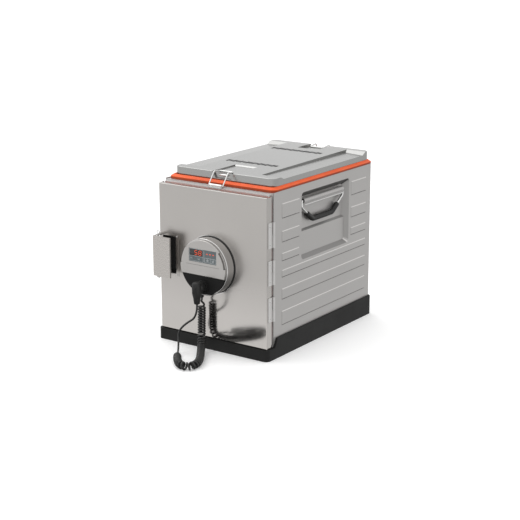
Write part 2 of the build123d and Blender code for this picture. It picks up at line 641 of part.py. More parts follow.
def fan_impeller():
    """Radial impeller: hub, back plate and blades."""
    hub = disc(10.0, (-297.0, -276.5))
    plate = disc(FAN_R, (-297.0, -295.5))
    wheel = hub + plate
    for step in range(10):
        blade = block((18.0, FAN_R - 1), (-296.0, -278.0), (HEATER_Z - 0.75, HEATER_Z + 0.75))
        blade = Pos(0, 0, HEATER_Z) * Rot(0, 36.0 * step, 0) * Pos(0, 0, -HEATER_Z) * blade
        wheel += blade
    return wheel - disc(3.0 + RUN_GAP, (-300.0, -270.0))


def fan_guard():
    guard = disc(TUBE_R - SHEET - 0.2, (PLUG_REAR - 2 * SHEET, PLUG_REAR - SHEET))
    for radius, count in ((24.0, 8), (44.0, 16), (64.0, 24)):
        for step in range(count):
            angle = 2 * math.pi * step / count
            x, z = radius * math.cos(angle), HEATER_Z + radius * math.sin(angle)
            guard -= disc(6.0, (PLUG_REAR - 10, PLUG_REAR + 5), x, z)
    return guard


# ---------------------------------------------------------------- cord and plug
def cord_gland():
    gland = Pos(GLAND_X, GLAND_Y, (GLAND_END_Z + 205) / 2) * Cone(8.0, 11.0, 205 - GLAND_END_Z)
    return gland - disc(DRUM_R, (DRUM_FRONT - 20, DOOR_FACE))


def parked_plug():
    """Angled mains plug, parked in the socket on the heater."""
    nose = disc(SOCKET_BORE - 0.2, (-366.0, DRUM_FRONT - 2.0), 0, SOCKET_Z)
    shoulder = disc(17.0, (PLUG_Y, DRUM_FRONT - 16.2), 0, SOCKET_Z + 1)
    top = Pos(0, PLUG_Y, 240.0) * Circle(15.5)
    waist = Pos(0, PLUG_Y, 200.0) * Circle(15.0)
    tail = Pos(0, PLUG_Y, PLUG_END_Z) * Circle(11.5)
    body = loft([tail.face(), waist.face(), top.face()])
    body = fillet(body.faces().sort_by(Axis.Z)[-1].edges(), 6.0)
    return body + shoulder + nose


# ---------------------------------------------------------------- lid
def lid_form():
    """Outside shape of the lid above its seal: a raised middle between two channels that fall outwards."""
    front, rear = LID_Y[0] - 5, LID_Y[1] + 5
    below = LID_CHANNEL_Z - 1
    ends = Plane.YZ * Polyline(
        (front, below), (front, LID_TOP_Z), (FRONT_RAMP_Y[0], LID_TOP_Z), (FRONT_RAMP_Y[1], LID_CHANNEL_Z),
        (REAR_RAMP_Y[0], LID_CHANNEL_Z), (REAR_RAMP_Y[1], LID_REAR_Z), (rear, LID_REAR_Z), (rear, below),
        close=True)
    middle = Plane.YZ * Polyline(
        (front, below), (front, LID_TOP_Z), (FRONT_RAMP_Y[0], LID_TOP_Z), (REAR_RAMP_Y[1], LID_REAR_Z),
        (rear, LID_REAR_Z), (rear, below), close=True)
    wide = LID_HALF_W + 5
    channels = Plane.XZ.offset(-rear) * Polyline(
        (-wide, LID_CHANNEL_Z), (-wide, below), (wide, below), (wide, LID_CHANNEL_Z),
        (PLATEAU_HALF_W, CHANNEL_FOOT_Z), (-PLATEAU_HALF_W, CHANNEL_FOOT_Z), close=True)
    top = extrude(make_face(ends), wide, both=True)
    top += extrude(make_face(middle), PLATEAU_HALF_W, both=True)
    top += extrude(make_face(channels), rear - front)
    blank = rounded_slab(LID_HALF_W, LID_Y, (LID_CHANNEL_Z - 0.5, LID_REAR_Z), LID_R)
    return rounded_slab(LID_HALF_W, LID_Y, (LID_BASE_Z, LID_CHANNEL_Z), LID_R) + (blank & top)


def lid_scoop(grow=0.0):
    """Scoop under the front clamp bail, so that a thumb can reach the bail."""
    top, foot = SCOOP_HALF_W[0] + grow, SCOOP_HALF_W[1] + grow
    outline = Plane.XZ.offset(-(LID_Y[0] + SCOOP_DEEP + grow)) * Polyline(
        (-top, CLAMP_FLOOR_Z + 4), (-foot, SCOOP_FOOT_Z - grow), (foot, SCOOP_FOOT_Z - grow),
        (top, CLAMP_FLOOR_Z + 4), close=True)
    return extrude(make_face(outline), SCOOP_DEEP + grow + 5)


def lid_shell():
    form = lid_form()
    top_edges = [e for e in form.edges() if e.center().Z > LID_TOP_Z - 0.05
                 and (e.center().Y < LID_Y[0] + 8 or e.center().Y > LID_Y[1] - 8)]
    form = fillet(top_edges, 2.5)
    notch = Plane.YZ * Polyline(
        (LID_Y[0] - 5, CLAMP_FLOOR_Z), (-127.0, CLAMP_FLOOR_Z), (-116.0, CLAMP_FLOOR_Z + 7.5),
        (-116.0, LID_REAR_Z + 5), (LID_Y[0] - 5, LID_REAR_Z + 5), close=True)
    form -= extrude(make_face(notch), SCOOP_HALF_W[0], both=True)
    form -= block((-40, 40), (233.5, LID_Y[1] + 5), (CLAMP_FLOOR_Z, LID_REAR_Z + 5))
    void = rounded_slab(LID_HALF_W - LID_WALL, (LID_Y[0] + LID_WALL, LID_Y[1] - LID_WALL),
                        (LID_BASE_Z - 1, LID_CHANNEL_Z - LID_WALL), LID_R - LID_WALL)
    form -= void - lid_scoop(LID_WALL)
    form -= lid_scoop()
    return form - lid_attic()


def lid_attic():
    """Hollow under the raised parts of the lid's top."""
    low, ceiling, clear = LID_CHANNEL_Z - LID_WALL - 1, LID_TOP_Z - LID_WALL, SCOOP_HALF_W[0] + 2
    rise = (LID_REAR_Z - LID_TOP_Z) / (REAR_RAMP_Y[1] - FRONT_RAMP_Y[0])
    middle = Plane.YZ * Polyline(
        (-205.0, low), (-205.0, ceiling), (285.0, ceiling + rise * (285.0 - FRONT_RAMP_Y[0])), (285.0, low),
        close=True)
    attic = extrude(make_face(middle), PLATEAU_HALF_W - LID_WALL, both=True)
    attic -= block((-clear, clear), (-206, -114.0), (low - 5, LID_REAR_Z))
    attic -= block((-clear, clear), (230.0, 286), (low - 5, LID_REAR_Z))
    channel = Plane.XZ.offset(-270.0) * Polyline(
        (118.0, low), (190.0, low), (190.0, LID_CHANNEL_Z + 0.1 - LID_WALL),
        (118.0, CHANNEL_FOOT_Z - LID_WALL), close=True)
    side = extrude(make_face(channel), 463.0)
    side += block((clear, 180.0), (-239.0, -212.0), (low, ceiling))
    side += block((clear, 165.0), (294.0, 313.0), (low, LID_REAR_Z - LID_WALL))
    return attic + side + mirrored(side)


def lid_inner_pan():
    """Flange under the shell with a plug that fills the top opening."""
    flange = rounded_slab(190.0, (LID_Y[0] + 4, LID_Y[1] - 4),
                          (LID_BASE_Z - SHEET - FIT, LID_BASE_Z - FIT), 18.0)
    plug = rounded_slab(148.0, (-235.0, 262.0), (LID_PLUG_Z, LID_BASE_Z - SHEET), 16.0)
    plug = fillet(plug.faces().sort_by(Axis.Z)[0].edges(), 4.0)
    hollow = rounded_slab(146.5, (-233.5, 260.5), (LID_PLUG_Z + SHEET, LID_BASE_Z + 5), 14.5)
    return flange + plug - hollow


def lid_insulation():
    inset = LID_WALL + 0.7
    upper = rounded_slab(LID_HALF_W - inset, (LID_Y[0] + inset, LID_Y[1] - inset),
                         (LID_BASE_Z, LID_CHANNEL_Z - inset), LID_R - inset)
    lower = rounded_slab(146.4, (-233.4, 260.4), (LID_PLUG_Z + SHEET + FIT, LID_BASE_Z + 1), 14.4)
    return upper + lower - lid_scoop(inset)


def lid_seal():
    """Silicone seal clamped round the lid's edge: square foot, bevelled top."""
    foot = rounded_slab(SEAL_HALF_W, SEAL_Y, (RIM_TOP + 0.3, 531.0), SEAL_R)
    foot = fillet(foot.faces().sort_by(Axis.Z)[0].edges(), 1.2)
    centre = (SEAL_Y[0] + SEAL_Y[1]) / 2
    low = Pos(0, centre, 531.0) * RectangleRounded(2 * SEAL_HALF_W, SEAL_Y[1] - SEAL_Y[0], SEAL_R)
    high = Pos(0, (LID_Y[0] + LID_Y[1]) / 2, LID_BASE_Z) * RectangleRounded(
        2 * LID_HALF_W + 3, LID_Y[1] - LID_Y[0] + 3, LID_R)
    bevel = loft([low.face(), high.face()])
    ringed = foot + bevel
    ringed -= rounded_slab(170.0, (-236.0, 285.0), (RIM_TOP - 5, LID_BASE_Z + 5), 10.0)
    seat = rounded_slab(190.2, (LID_Y[0] + 3.8, LID_Y[1] - 3.8),
                        (LID_BASE_Z - SHEET - 2 * FIT, LID_BASE_Z + 5), 18.2)
    return ringed - seat


# ---------------------------------------------------------------- lid clamps
def clamp_brackets():
    """Folded brackets on the front rail and the rear panel, each with a rolled tube."""
    brackets = []
    for (y, z), inner, low in ((FRONT_CLAMP, FRAME_FACE, CLAMP_FOOT_Z), (REAR_CLAMP, CASE_BACK, 510.0)):
        near, far = min(y - 5.5 if y < 0 else y + 5.5, inner), max(y - 5.5 if y < 0 else y + 5.5, inner)
        foot = block((-CLAMP_HALF_W, CLAMP_HALF_W), (near, far), (low, low + 3.5))
        web = block((-CLAMP_HALF_W, CLAMP_HALF_W), (y - 2, y + 2), (low, z))
        tube = crossways(4.5, (-CLAMP_HALF_W, CLAMP_HALF_W), y, z)
        bore = crossways(BAIL_WIRE_R + RUN_GAP, (-CLAMP_HALF_W - 1, CLAMP_HALF_W + 1), y, z)
        brackets.append(foot + web + tube - bore)
    return as_group(brackets)


def clamp_bail(pivot, knee, bar):
    """Wire bail: two stub ends in the tube, legs, and a crossbar over the lid."""
    y, z = pivot
    half = BAIL_HALF_W
    points = [(-6, y, z), (-half, y, z), (-half, *knee), (-half, *bar),
              (half, *bar), (half, *knee), (half, y, z), (6, y, z)]
    return wire(points, BAIL_WIRE_R, [3.2, 6.0, 5.0, 5.0, 6.0, 3.2])


# ---------------------------------------------------------------- side handles
def handle_bracket():
    """Rolled bracket in the right-hand recess: a tube with a web and an apron that leans in."""
    tube = lengthways(HANDLE_TUBE_R, HANDLE_X, HANDLE_TUBE_Y, HANDLE_Z)
    floor_x = HALF_W - RECESS_DEEP
    web = block((floor_x, HANDLE_X), HANDLE_TUBE_Y, (HANDLE_Z + 1, HANDLE_Z + 6))
    foot = block((floor_x, floor_x + 1.5), HANDLE_TUBE_Y, (HANDLE_Z - 12, HANDLE_Z + 8))
    outline = Plane.XZ.offset(-HANDLE_TUBE_Y[1]) * Polyline(
        (206.2, 468.5), (203.2, 457.6), (205.2, 457.2), (208.3, 468.2), close=True)
    apron = extrude(make_face(outline), HANDLE_TUBE_Y[1] - HANDLE_TUBE_Y[0])
    hem = lengthways(1.3, 204.9, HANDLE_TUBE_Y, 456.5)
    bracket = tube + web + foot + apron + hem
    bore = lengthways(HANDLE_BORE_R, HANDLE_X, (HANDLE_TUBE_Y[0] - 1, HANDLE_TUBE_Y[1] + 1), HANDLE_Z)
    return bracket - bore


def handle_bushings():
    """Plastic bushes in both ends of each handle tube."""
    bushes = []
    for end, inward in ((HANDLE_TUBE_Y[0], 14.0), (HANDLE_TUBE_Y[1], -14.0)):
        y = sorted((end, end + inward))
        bush = lengthways(HANDLE_BORE_R, HANDLE_X, y, HANDLE_Z)
        bush -= lengthways(HANDLE_WIRE_R + RUN_GAP, HANDLE_X, (y[0] - 1, y[1] + 1), HANDLE_Z)
        bushes += [bush, mirrored(bush)]
    return as_group(bushes)


def handle_bail():
    """Carrying handle of round bar; it hangs in the recess."""
    front, rear = HANDLE_ARM_Y
    x = HANDLE_X
    points = [(x, front + 30, HANDLE_Z), (x, front, HANDLE_Z), (x, front, HANDLE_KNEE_Z),
              (x, HANDLE_GRIP_Y[0], HANDLE_GRIP_Z), (x, HANDLE_GRIP_Y[1], HANDLE_GRIP_Z),
              (x, rear, HANDLE_KNEE_Z), (x, rear, HANDLE_Z), (x, rear - 30, HANDLE_Z)]
    return wire(points, HANDLE_WIRE_R, [4.3, 12.0, 14.0, 14.0, 12.0, 4.3])


def handle_grip():
    """Moulded grip round the lower part of the handle."""
    x = HANDLE_X
    up_front = 0.48
    y0, y1 = HANDLE_GRIP_Y
    knee0, knee1 = HANDLE_ARM_Y
    rise = (HANDLE_KNEE_Z - HANDLE_GRIP_Z) * up_front
    points = [(x, y0 + (knee0 - y0) * up_front, HANDLE_GRIP_Z + rise), (x, y0, HANDLE_GRIP_Z),
              (x, y1, HANDLE_GRIP_Z), (x, y1 + (knee1 - y1) * up_front, HANDLE_GRIP_Z + rise)]
    return wire(points, GRIP_R, [14.0, 14.0]) - wire(points, HANDLE_WIRE_R, [14.0, 14.0])


# ---------------------------------------------------------------- assembly
def build():
    tray = base_tray()
    pan = bottom_pan()
    for hole in base_screw_holes():
        tray -= hole
        pan -= hole
    right_panel = side_panel()
    body_hinges, door_hinges, pins = hinge_parts()
    bracket, bail, grip = handle_bracket(), handle_bail(), handle_grip()
    gland = cord_gland()
    front_bail = clamp_bail(FRONT_CLAMP, (-254.5, 563.4), (-226.0, 560.8))
    rear_bail = clamp_bail(REAR_CLAMP, (331.5, 564.8), (293.0, 560.8))
    nodes = {
        "base_tray": tray,
        "base_screws": base_screws(),
        "bottom_pan": pan,
        "right_side_panel": right_panel,
        "left_side_panel": mirrored(right_panel),
        "rear_panel": rear_panel(),
        "inner_liner": inner_liner(),
        "pan_runners": pan_runners(),
        "body_insulation": body_insulation(),
        "front_frame": front_frame(),
        "top_frame": top_frame(),
        "body_hinge_leaves": body_hinges,
        "hinge_pins": pins,
        "clamp_brackets": clamp_brackets(),
        "latch_keeper": latch_keeper(),
        "right_handle_bracket": bracket,
        "left_handle_bracket": mirrored(bracket),
        "handle_bushings": handle_bushings(),
        "door_outer_skin": door_outer_skin(),
        "door_inner_skin": door_inner_skin(),
        "door_insulation": door_insulation(),
        "door_gasket": door_gasket(),
        "door_hinge_leaves": door_hinges,
        "latch_base_plate": latch_base_plate(),
        "latch_grip_cup": latch_grip_cup(),
        "latch_pin": latch_pin(),
        "latch_lever": latch_lever(),
        "latch_hook": latch_hook(),
        "heater_collar": heater_collar(),
        "heater_gasket": heater_gasket(),
        "heater_drum": heater_drum(),
        "control_housing": control_housing(),
        "connector_bay": connector_bay(),
        "power_socket": power_socket(),
        "display_window": display_window(),
        "control_board": control_board(),
        "heater_tube": heater_tube(),
        "heating_element": heating_element(),
        "fan_motor": fan_motor(),
        "fan_impeller": fan_impeller(),
        "fan_guard": fan_guard(),
        "cord_gland": gland,
        "curly_cord": cord_tube(CURL_POINTS, CURL_D, "curly_cord"),
        "cord_lead": cord_tube(LEAD_POINTS, WIRE_D, "cord_lead"),
        "parked_plug": parked_plug(),
        "lid_shell": lid_shell(),
        "lid_inner_pan": lid_inner_pan(),
        "lid_insulation": lid_insulation(),
        "lid_seal": lid_seal(),
        "front_clamp_bail": front_bail,
        "rear_clamp_bail": rear_bail,
        "right_handle_bail": bail,
        "left_handle_bail": mirrored(bail),
        "right_handle_grip": grip,
        "left_handle_grip": mirrored(grip),
    }
    for name, x in zip(("key_up", "key_down", "key_program", "key_power"), KEY_X):
        nodes[name] = key_cap(x)
    return nodes


def main():
    os.makedirs("parts", exist_ok=True)
    nodes = build()
    for name, shape in nodes.items():
        export_step(shape, f"parts/{name}.step")
    print(len(nodes), "nodes written")


main()
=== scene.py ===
"""Looks of the insulated food carrier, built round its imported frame.  Metres, +Z up, -Y towards the user."""
import math

import bmesh
import bpy
from mathutils import Matrix, Quaternion, Vector


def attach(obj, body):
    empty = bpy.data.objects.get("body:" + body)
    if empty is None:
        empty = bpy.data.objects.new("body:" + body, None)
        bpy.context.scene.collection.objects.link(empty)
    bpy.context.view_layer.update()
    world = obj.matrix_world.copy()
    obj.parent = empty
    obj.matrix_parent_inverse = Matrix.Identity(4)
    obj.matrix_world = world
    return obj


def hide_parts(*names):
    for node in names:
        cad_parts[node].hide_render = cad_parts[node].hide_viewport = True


MM = 0.001
ALONG_X, ALONG_Y, ALONG_Z = Vector((1, 0, 0)), Vector((0, 1, 0)), Vector((0, 0, 1))

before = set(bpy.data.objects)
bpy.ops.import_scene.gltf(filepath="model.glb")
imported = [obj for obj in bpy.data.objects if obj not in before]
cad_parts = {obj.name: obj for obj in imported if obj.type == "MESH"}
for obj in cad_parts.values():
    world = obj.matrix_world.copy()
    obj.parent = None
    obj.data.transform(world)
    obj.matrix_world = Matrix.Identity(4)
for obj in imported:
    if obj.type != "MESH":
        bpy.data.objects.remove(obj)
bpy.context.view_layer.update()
scene = bpy.context.scene


# ---------------------------------------------------------------- camera
CAMERA_PLACE = (2.3564, -3.3921, 1.3466)
CAMERA_LENS = 89.31
CAMERA_AZIMUTH, CAMERA_ELEVATION, CAMERA_ROLL = 35.159, 15.193, -0.103


def make_camera():
    data = bpy.data.cameras.new("camera")
    data.lens = CAMERA_LENS
    data.sensor_width = 36.0
    data.clip_end = 50.0
    camera = bpy.data.objects.new("camera", data)
    scene.collection.objects.link(camera)
    azimuth, elevation = math.radians(CAMERA_AZIMUTH), math.radians(CAMERA_ELEVATION)
    back = Vector((math.sin(azimuth) * math.cos(elevation), -math.cos(azimuth) * math.cos(elevation),
                   math.sin(elevation)))
    turn = (-back).to_track_quat("-Z", "Y") @ Quaternion((0, 0, 1), math.radians(CAMERA_ROLL))
    camera.location = CAMERA_PLACE
    camera.rotation_mode = "QUATERNION"
    camera.rotation_quaternion = turn
    scene.camera = camera


# ---------------------------------------------------------------- mesh helpers
def mm(*point):
    return Vector(point) * MM


def new_piece(name, mesh, body, material, smooth=True):
    """Link a finished mesh as a piece that rides on a body."""
    for polygon in mesh.polygons:
        polygon.use_smooth = smooth
    piece = bpy.data.objects.new(name, mesh)
    scene.collection.objects.link(piece)
    mesh.materials.append(material)
    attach(piece, body)
    return piece


def mesh_from(name, points, faces):
    mesh = bpy.data.meshes.new(name)
    mesh.from_pydata([tuple(p) for p in points], [], faces)
    work = bmesh.new()
    work.from_mesh(mesh)
    bmesh.ops.recalc_face_normals(work, faces=work.faces)
    work.to_mesh(mesh)
    work.free()
    return mesh


def join(name, meshes):
    work = bmesh.new()
    for mesh in meshes:
        work.from_mesh(mesh)
        bpy.data.meshes.remove(mesh)
    merged = bpy.data.meshes.new(name)
    work.to_mesh(merged)
    work.free()
    return merged


def sharp_edges(mesh, angle=40.0):
    """Smooth shading with hard creases above an angle."""
    mesh.set_sharp_from_angle(angle=math.radians(angle))
    return mesh


def round_point(turn, first, second):
    """A point of the unit circle in the plane of two directions."""
    return first * math.cos(turn) + second * math.sin(turn)


def stitch(rings, sides):
    """Faces of a run of rings with as many points each, closed at both ends."""
    faces = []
    for i in range(rings - 1):
        for k in range(sides):
            a, b = i * sides + k, i * sides + (k + 1) % sides
            faces.append((a, b, b + sides, a + sides))
    last = (rings - 1) * sides
    return faces + [tuple(range(sides)), tuple(range(last, last + sides))]


def carried(points):
    """A tangent, normal and side at each point, carried along a line without twist."""
    tangents = []
    for i in range(len(points)):
        before, after = points[max(i - 1, 0)], points[min(i + 1, len(points) - 1)]
        tangents.append((after - before).normalized())
    normal = tangents[0].orthogonal().normalized()
    result = []
    for tangent in tangents:
        normal = (normal - tangent * normal.dot(tangent)).normalized()
        result.append((tangent, normal, tangent.cross(normal)))
    return result


def tube(name, points, radii, sides):
    """Closed tube round a line, with one radius per point."""
    verts = []
    for centre, (_, normal, side), radius in zip(points, carried(points), radii):
        for k in range(sides):
            verts.append(centre + round_point(2 * math.pi * k / sides, normal, side) * radius)
    return mesh_from(name, verts, stitch(len(points), sides))


def ring_path(half_x, low, high, radius, up, steps):
    """Rounded rectangle in the plane of X and up: (point, outward direction) pairs, in millimetres."""
    found = []
    inner = half_x - radius
    corners = ((inner, high - radius), (-inner, high - radius), (-inner, low + radius), (inner, low + radius))
    for quarter, (x, rise) in enumerate(corners):
        for k in range(steps + 1):
            out = round_point(math.radians(90.0 * (quarter + k / steps)), ALONG_X, up)
            found.append((ALONG_X * x + up * rise + out * radius, out))
    return found


def ring_sweep(name, path, profile, lift):
    """Closed profile of (outward, lift) pairs in millimetres, swept round a closed path."""
    verts, faces = [], []
    count = len(profile)
    for place, out in path:
        for across, up in profile:
            verts.append((place + out * across + lift * up) * MM)
    rings = len(path)
    for i in range(rings):
        for k in range(count):
            a, b = i * count + k, i * count + (k + 1) % count
            c, d = ((i + 1) % rings) * count + (k + 1) % count, ((i + 1) % rings) * count + k
            faces.append((a, b, c, d))
    return mesh_from(name, verts, faces)


def lathe(name, profile, centre, axis, sides):
    """Turned body: (radius, place along the axis) pairs in millimetres, from one end to the other."""
    verts = []
    for radius, along in profile:
        for k in range(sides):
            turn = 2 * math.pi * k / sides
            c, s = radius * math.cos(turn), radius * math.sin(turn)
            offset = {"Y": (c, along, s), "Z": (c, s, along), "X": (along, c, s)}[axis]
            verts.append((Vector(centre) + Vector(offset)) * MM)
    return mesh_from(name, verts, stitch(len(profile), sides))


def soft_box(name, x, y, z, bevel, segments):
    """Box in millimetres with every edge rounded."""
    corners = [mm(a, b, c) for c in z for b in y for a in x]
    faces = [(0, 1, 3, 2), (4, 6, 7, 5), (0, 4, 5, 1), (2, 3, 7, 6), (0, 2, 6, 4), (1, 5, 7, 3)]
    mesh = mesh_from(name, corners, faces)
    work = bmesh.new()
    work.from_mesh(mesh)
    bmesh.ops.bevel(work, geom=list(work.edges), offset=bevel * MM, segments=segments, profile=0.5,
                    affect="EDGES", clamp_overlap=True)
    work.to_mesh(mesh)
    work.free()
    return mesh


# ---------------------------------------------------------------- materials
EVEN = (1.0, 1.0, 1.0)    # stretch of a grain that runs no particular way


class Nodes:
    """Short hand for building a node tree."""

    def __init__(self, tree):
        self.tree = tree

    def add(self, kind, **settings):
        node = self.tree.nodes.new(kind)
        for key, value in settings.items():
            setattr(node, key, value)
        return node

    def link(self, output, target, in_name):
        self.tree.links.new(output, target.inputs[in_name])

    def split(self, output):
        parts = self.add("ShaderNodeSeparateXYZ")
        self.link(output, parts, "Vector")
        return parts

    def map_range(self, output, start, end, low, high, smooth=True):
        """low up to start and high from end on, smoothed or straight between."""
        level = self.add("ShaderNodeMapRange", interpolation_type="SMOOTHSTEP" if smooth else "LINEAR")
        level.inputs["From Min"].default_value = start
        level.inputs["From Max"].default_value = end
        level.inputs["To Min"].default_value = low
        level.inputs["To Max"].default_value = high
        self.link(output, level, "Value")
        return level.outputs["Result"]

    def scaled(self, vector, factor):
        scaling = self.add("ShaderNodeVectorMath", operation="SCALE")
        self.link(vector, scaling, 0)
        self.link(factor, scaling, "Scale")
        return scaling.outputs["Vector"]

    def product(self, first, second):
        product = self.add("ShaderNodeMath", operation="MULTIPLY")
        self.link(first, product, 0)
        self.link(second, product, 1)
        return product.outputs["Value"]


class Surface(Nodes):
    """A material under one principled shader."""

    def __init__(self, name):
        self.material = bpy.data.materials.new(name)
        self.material.use_nodes = True
        super().__init__(self.material.node_tree)
        self.tree.nodes.clear()
        self.shader = self.add("ShaderNodeBsdfPrincipled")
        output = self.add("ShaderNodeOutputMaterial")
        self.link(self.shader.outputs["BSDF"], output, "Surface")
        self.place = self.add("ShaderNodeTexCoord")

    def set(self, in_name, value):
        self.shader.inputs[in_name].default_value = value

    def noise(self, stretch, scale, detail=3.0, rough=0.6):
        mapping = self.add("ShaderNodeMapping")
        mapping.inputs["Scale"].default_value = stretch
        self.link(self.place.outputs["Object"], mapping, "Vector")
        noise = self.add("ShaderNodeTexNoise")
        noise.inputs["Scale"].default_value = scale
        noise.inputs["Detail"].default_value = detail
        noise.inputs["Roughness"].default_value = rough
        self.link(mapping.outputs["Vector"], noise, "Vector")
        return noise.outputs["Fac"]

    def ramp(self, output, low, high, start=0.3, end=0.7):
        """Colour or grey between two levels."""
        ramp = self.add("ShaderNodeValToRGB")
        for element, place, level in zip(ramp.color_ramp.elements, (start, end), (low, high)):
            element.position = place
            element.color = (*level, 1) if hasattr(level, "__len__") else (level, level, level, 1)
        self.link(output, ramp, "Fac")
        return ramp.outputs["Color"]

    def bump(self, output, strength, distance):
        bump = self.add("ShaderNodeBump")
        bump.inputs["Strength"].default_value = strength
        bump.inputs["Distance"].default_value = distance
        self.link(output, bump, "Height")
        self.link(bump.outputs["Normal"], self.shader, "Normal")

    def painted_light_by_facing(self, colour, rows):
        """Painted light and shade: scale a colour by where faces look, a factor above 1 lightening and below 1
        darkening.  Rows: (axis of the part, from, to, factor).
        """
        parts = self.split(self.place.outputs["Normal"])
        for axis, start, end, factor in rows:
            colour = self.scaled(colour, self.map_range(parts.outputs[axis], start, end, 1.0, factor))
        return colour

    def painted_crease_shade(self, colour, crease_shade, reach):
        """Painted shade: darken a colour in corners, by ambient occlusion."""
        shadow = self.add("ShaderNodeAmbientOcclusion", samples=8)
        shadow.inputs["Distance"].default_value = reach
        blend = self.add("ShaderNodeMix", data_type="RGBA", blend_type="MULTIPLY")
        blend.inputs["Factor"].default_value = 1.0
        self.link(colour, blend, "A")
        self.link(self.ramp(shadow.outputs["AO"], 1 - crease_shade, 1.0, 0.45, 0.95), blend, "B")
        return blend.outputs["Result"]


def steel(name, tint, rough, grain=EVEN, depth=0.000004, cloud=0.02, crease_shade=0.0, reach=0.004, facing=(),
          metallic=1.0, buffed=None):
    """Sheet steel: fine rolling grain, cloudy sheen, uneven colour, painted shade in creases and painted light
    and shade by where faces look.
    buffed is (height of the foot, height where it ends, roughness factor at the foot)."""
    n = Surface(name)
    n.set("Metallic", metallic)
    fine = n.noise(grain, 55.0, 4.0, 0.7)
    broad = n.noise(EVEN, 5.0, 3.0, 0.5)
    dark = tuple(c * (1 - cloud) for c in tint)
    light = tuple(min(c * (1 + cloud), 1) for c in tint)
    colour = n.painted_light_by_facing(n.ramp(broad, dark, light), facing)
    if crease_shade:
        colour = n.painted_crease_shade(colour, crease_shade, reach)
    n.link(colour, n.shader, "Base Color")
    sheen = n.ramp(fine, *rough)
    if buffed:
        foot, end, factor = buffed
        height = n.split(n.place.outputs["Object"]).outputs["Z"]
        sheen = n.product(sheen, n.map_range(height, foot, end, factor, 1.0, smooth=False))
    n.link(sheen, n.shader, "Roughness")
    n.bump(fine, 0.3, depth)
    return n.material


def plastic(name, low, high, rough, scale=900.0, depth=0.00003, gloss=0.5, facing=()):
    """Moulded plastic or rubber with a fine spark-eroded grain, and painted light and shade by where faces
    look.
    """
    n = Surface(name)
    grain = n.noise(EVEN, scale)
    broad = n.noise(EVEN, 14.0, 3.0, 0.5)
    n.link(n.painted_light_by_facing(n.ramp(broad, low, high), facing), n.shader, "Base Color")
    n.set("Specular IOR Level", gloss)
    n.link(n.ramp(grain, *rough), n.shader, "Roughness")
    n.bump(grain, 0.4, depth)
    return n.material


def glowing(name, colour, strength):
    """Lit segment with a slightly uneven glow."""
    n = Surface(name)
    glow = n.ramp(n.noise(EVEN, 300.0), tuple(c * 0.85 for c in colour), colour)
    n.link(glow, n.shader, "Base Color")
    n.link(glow, n.shader, "Emission Color")
    n.set("Emission Strength", strength)
    return n.material


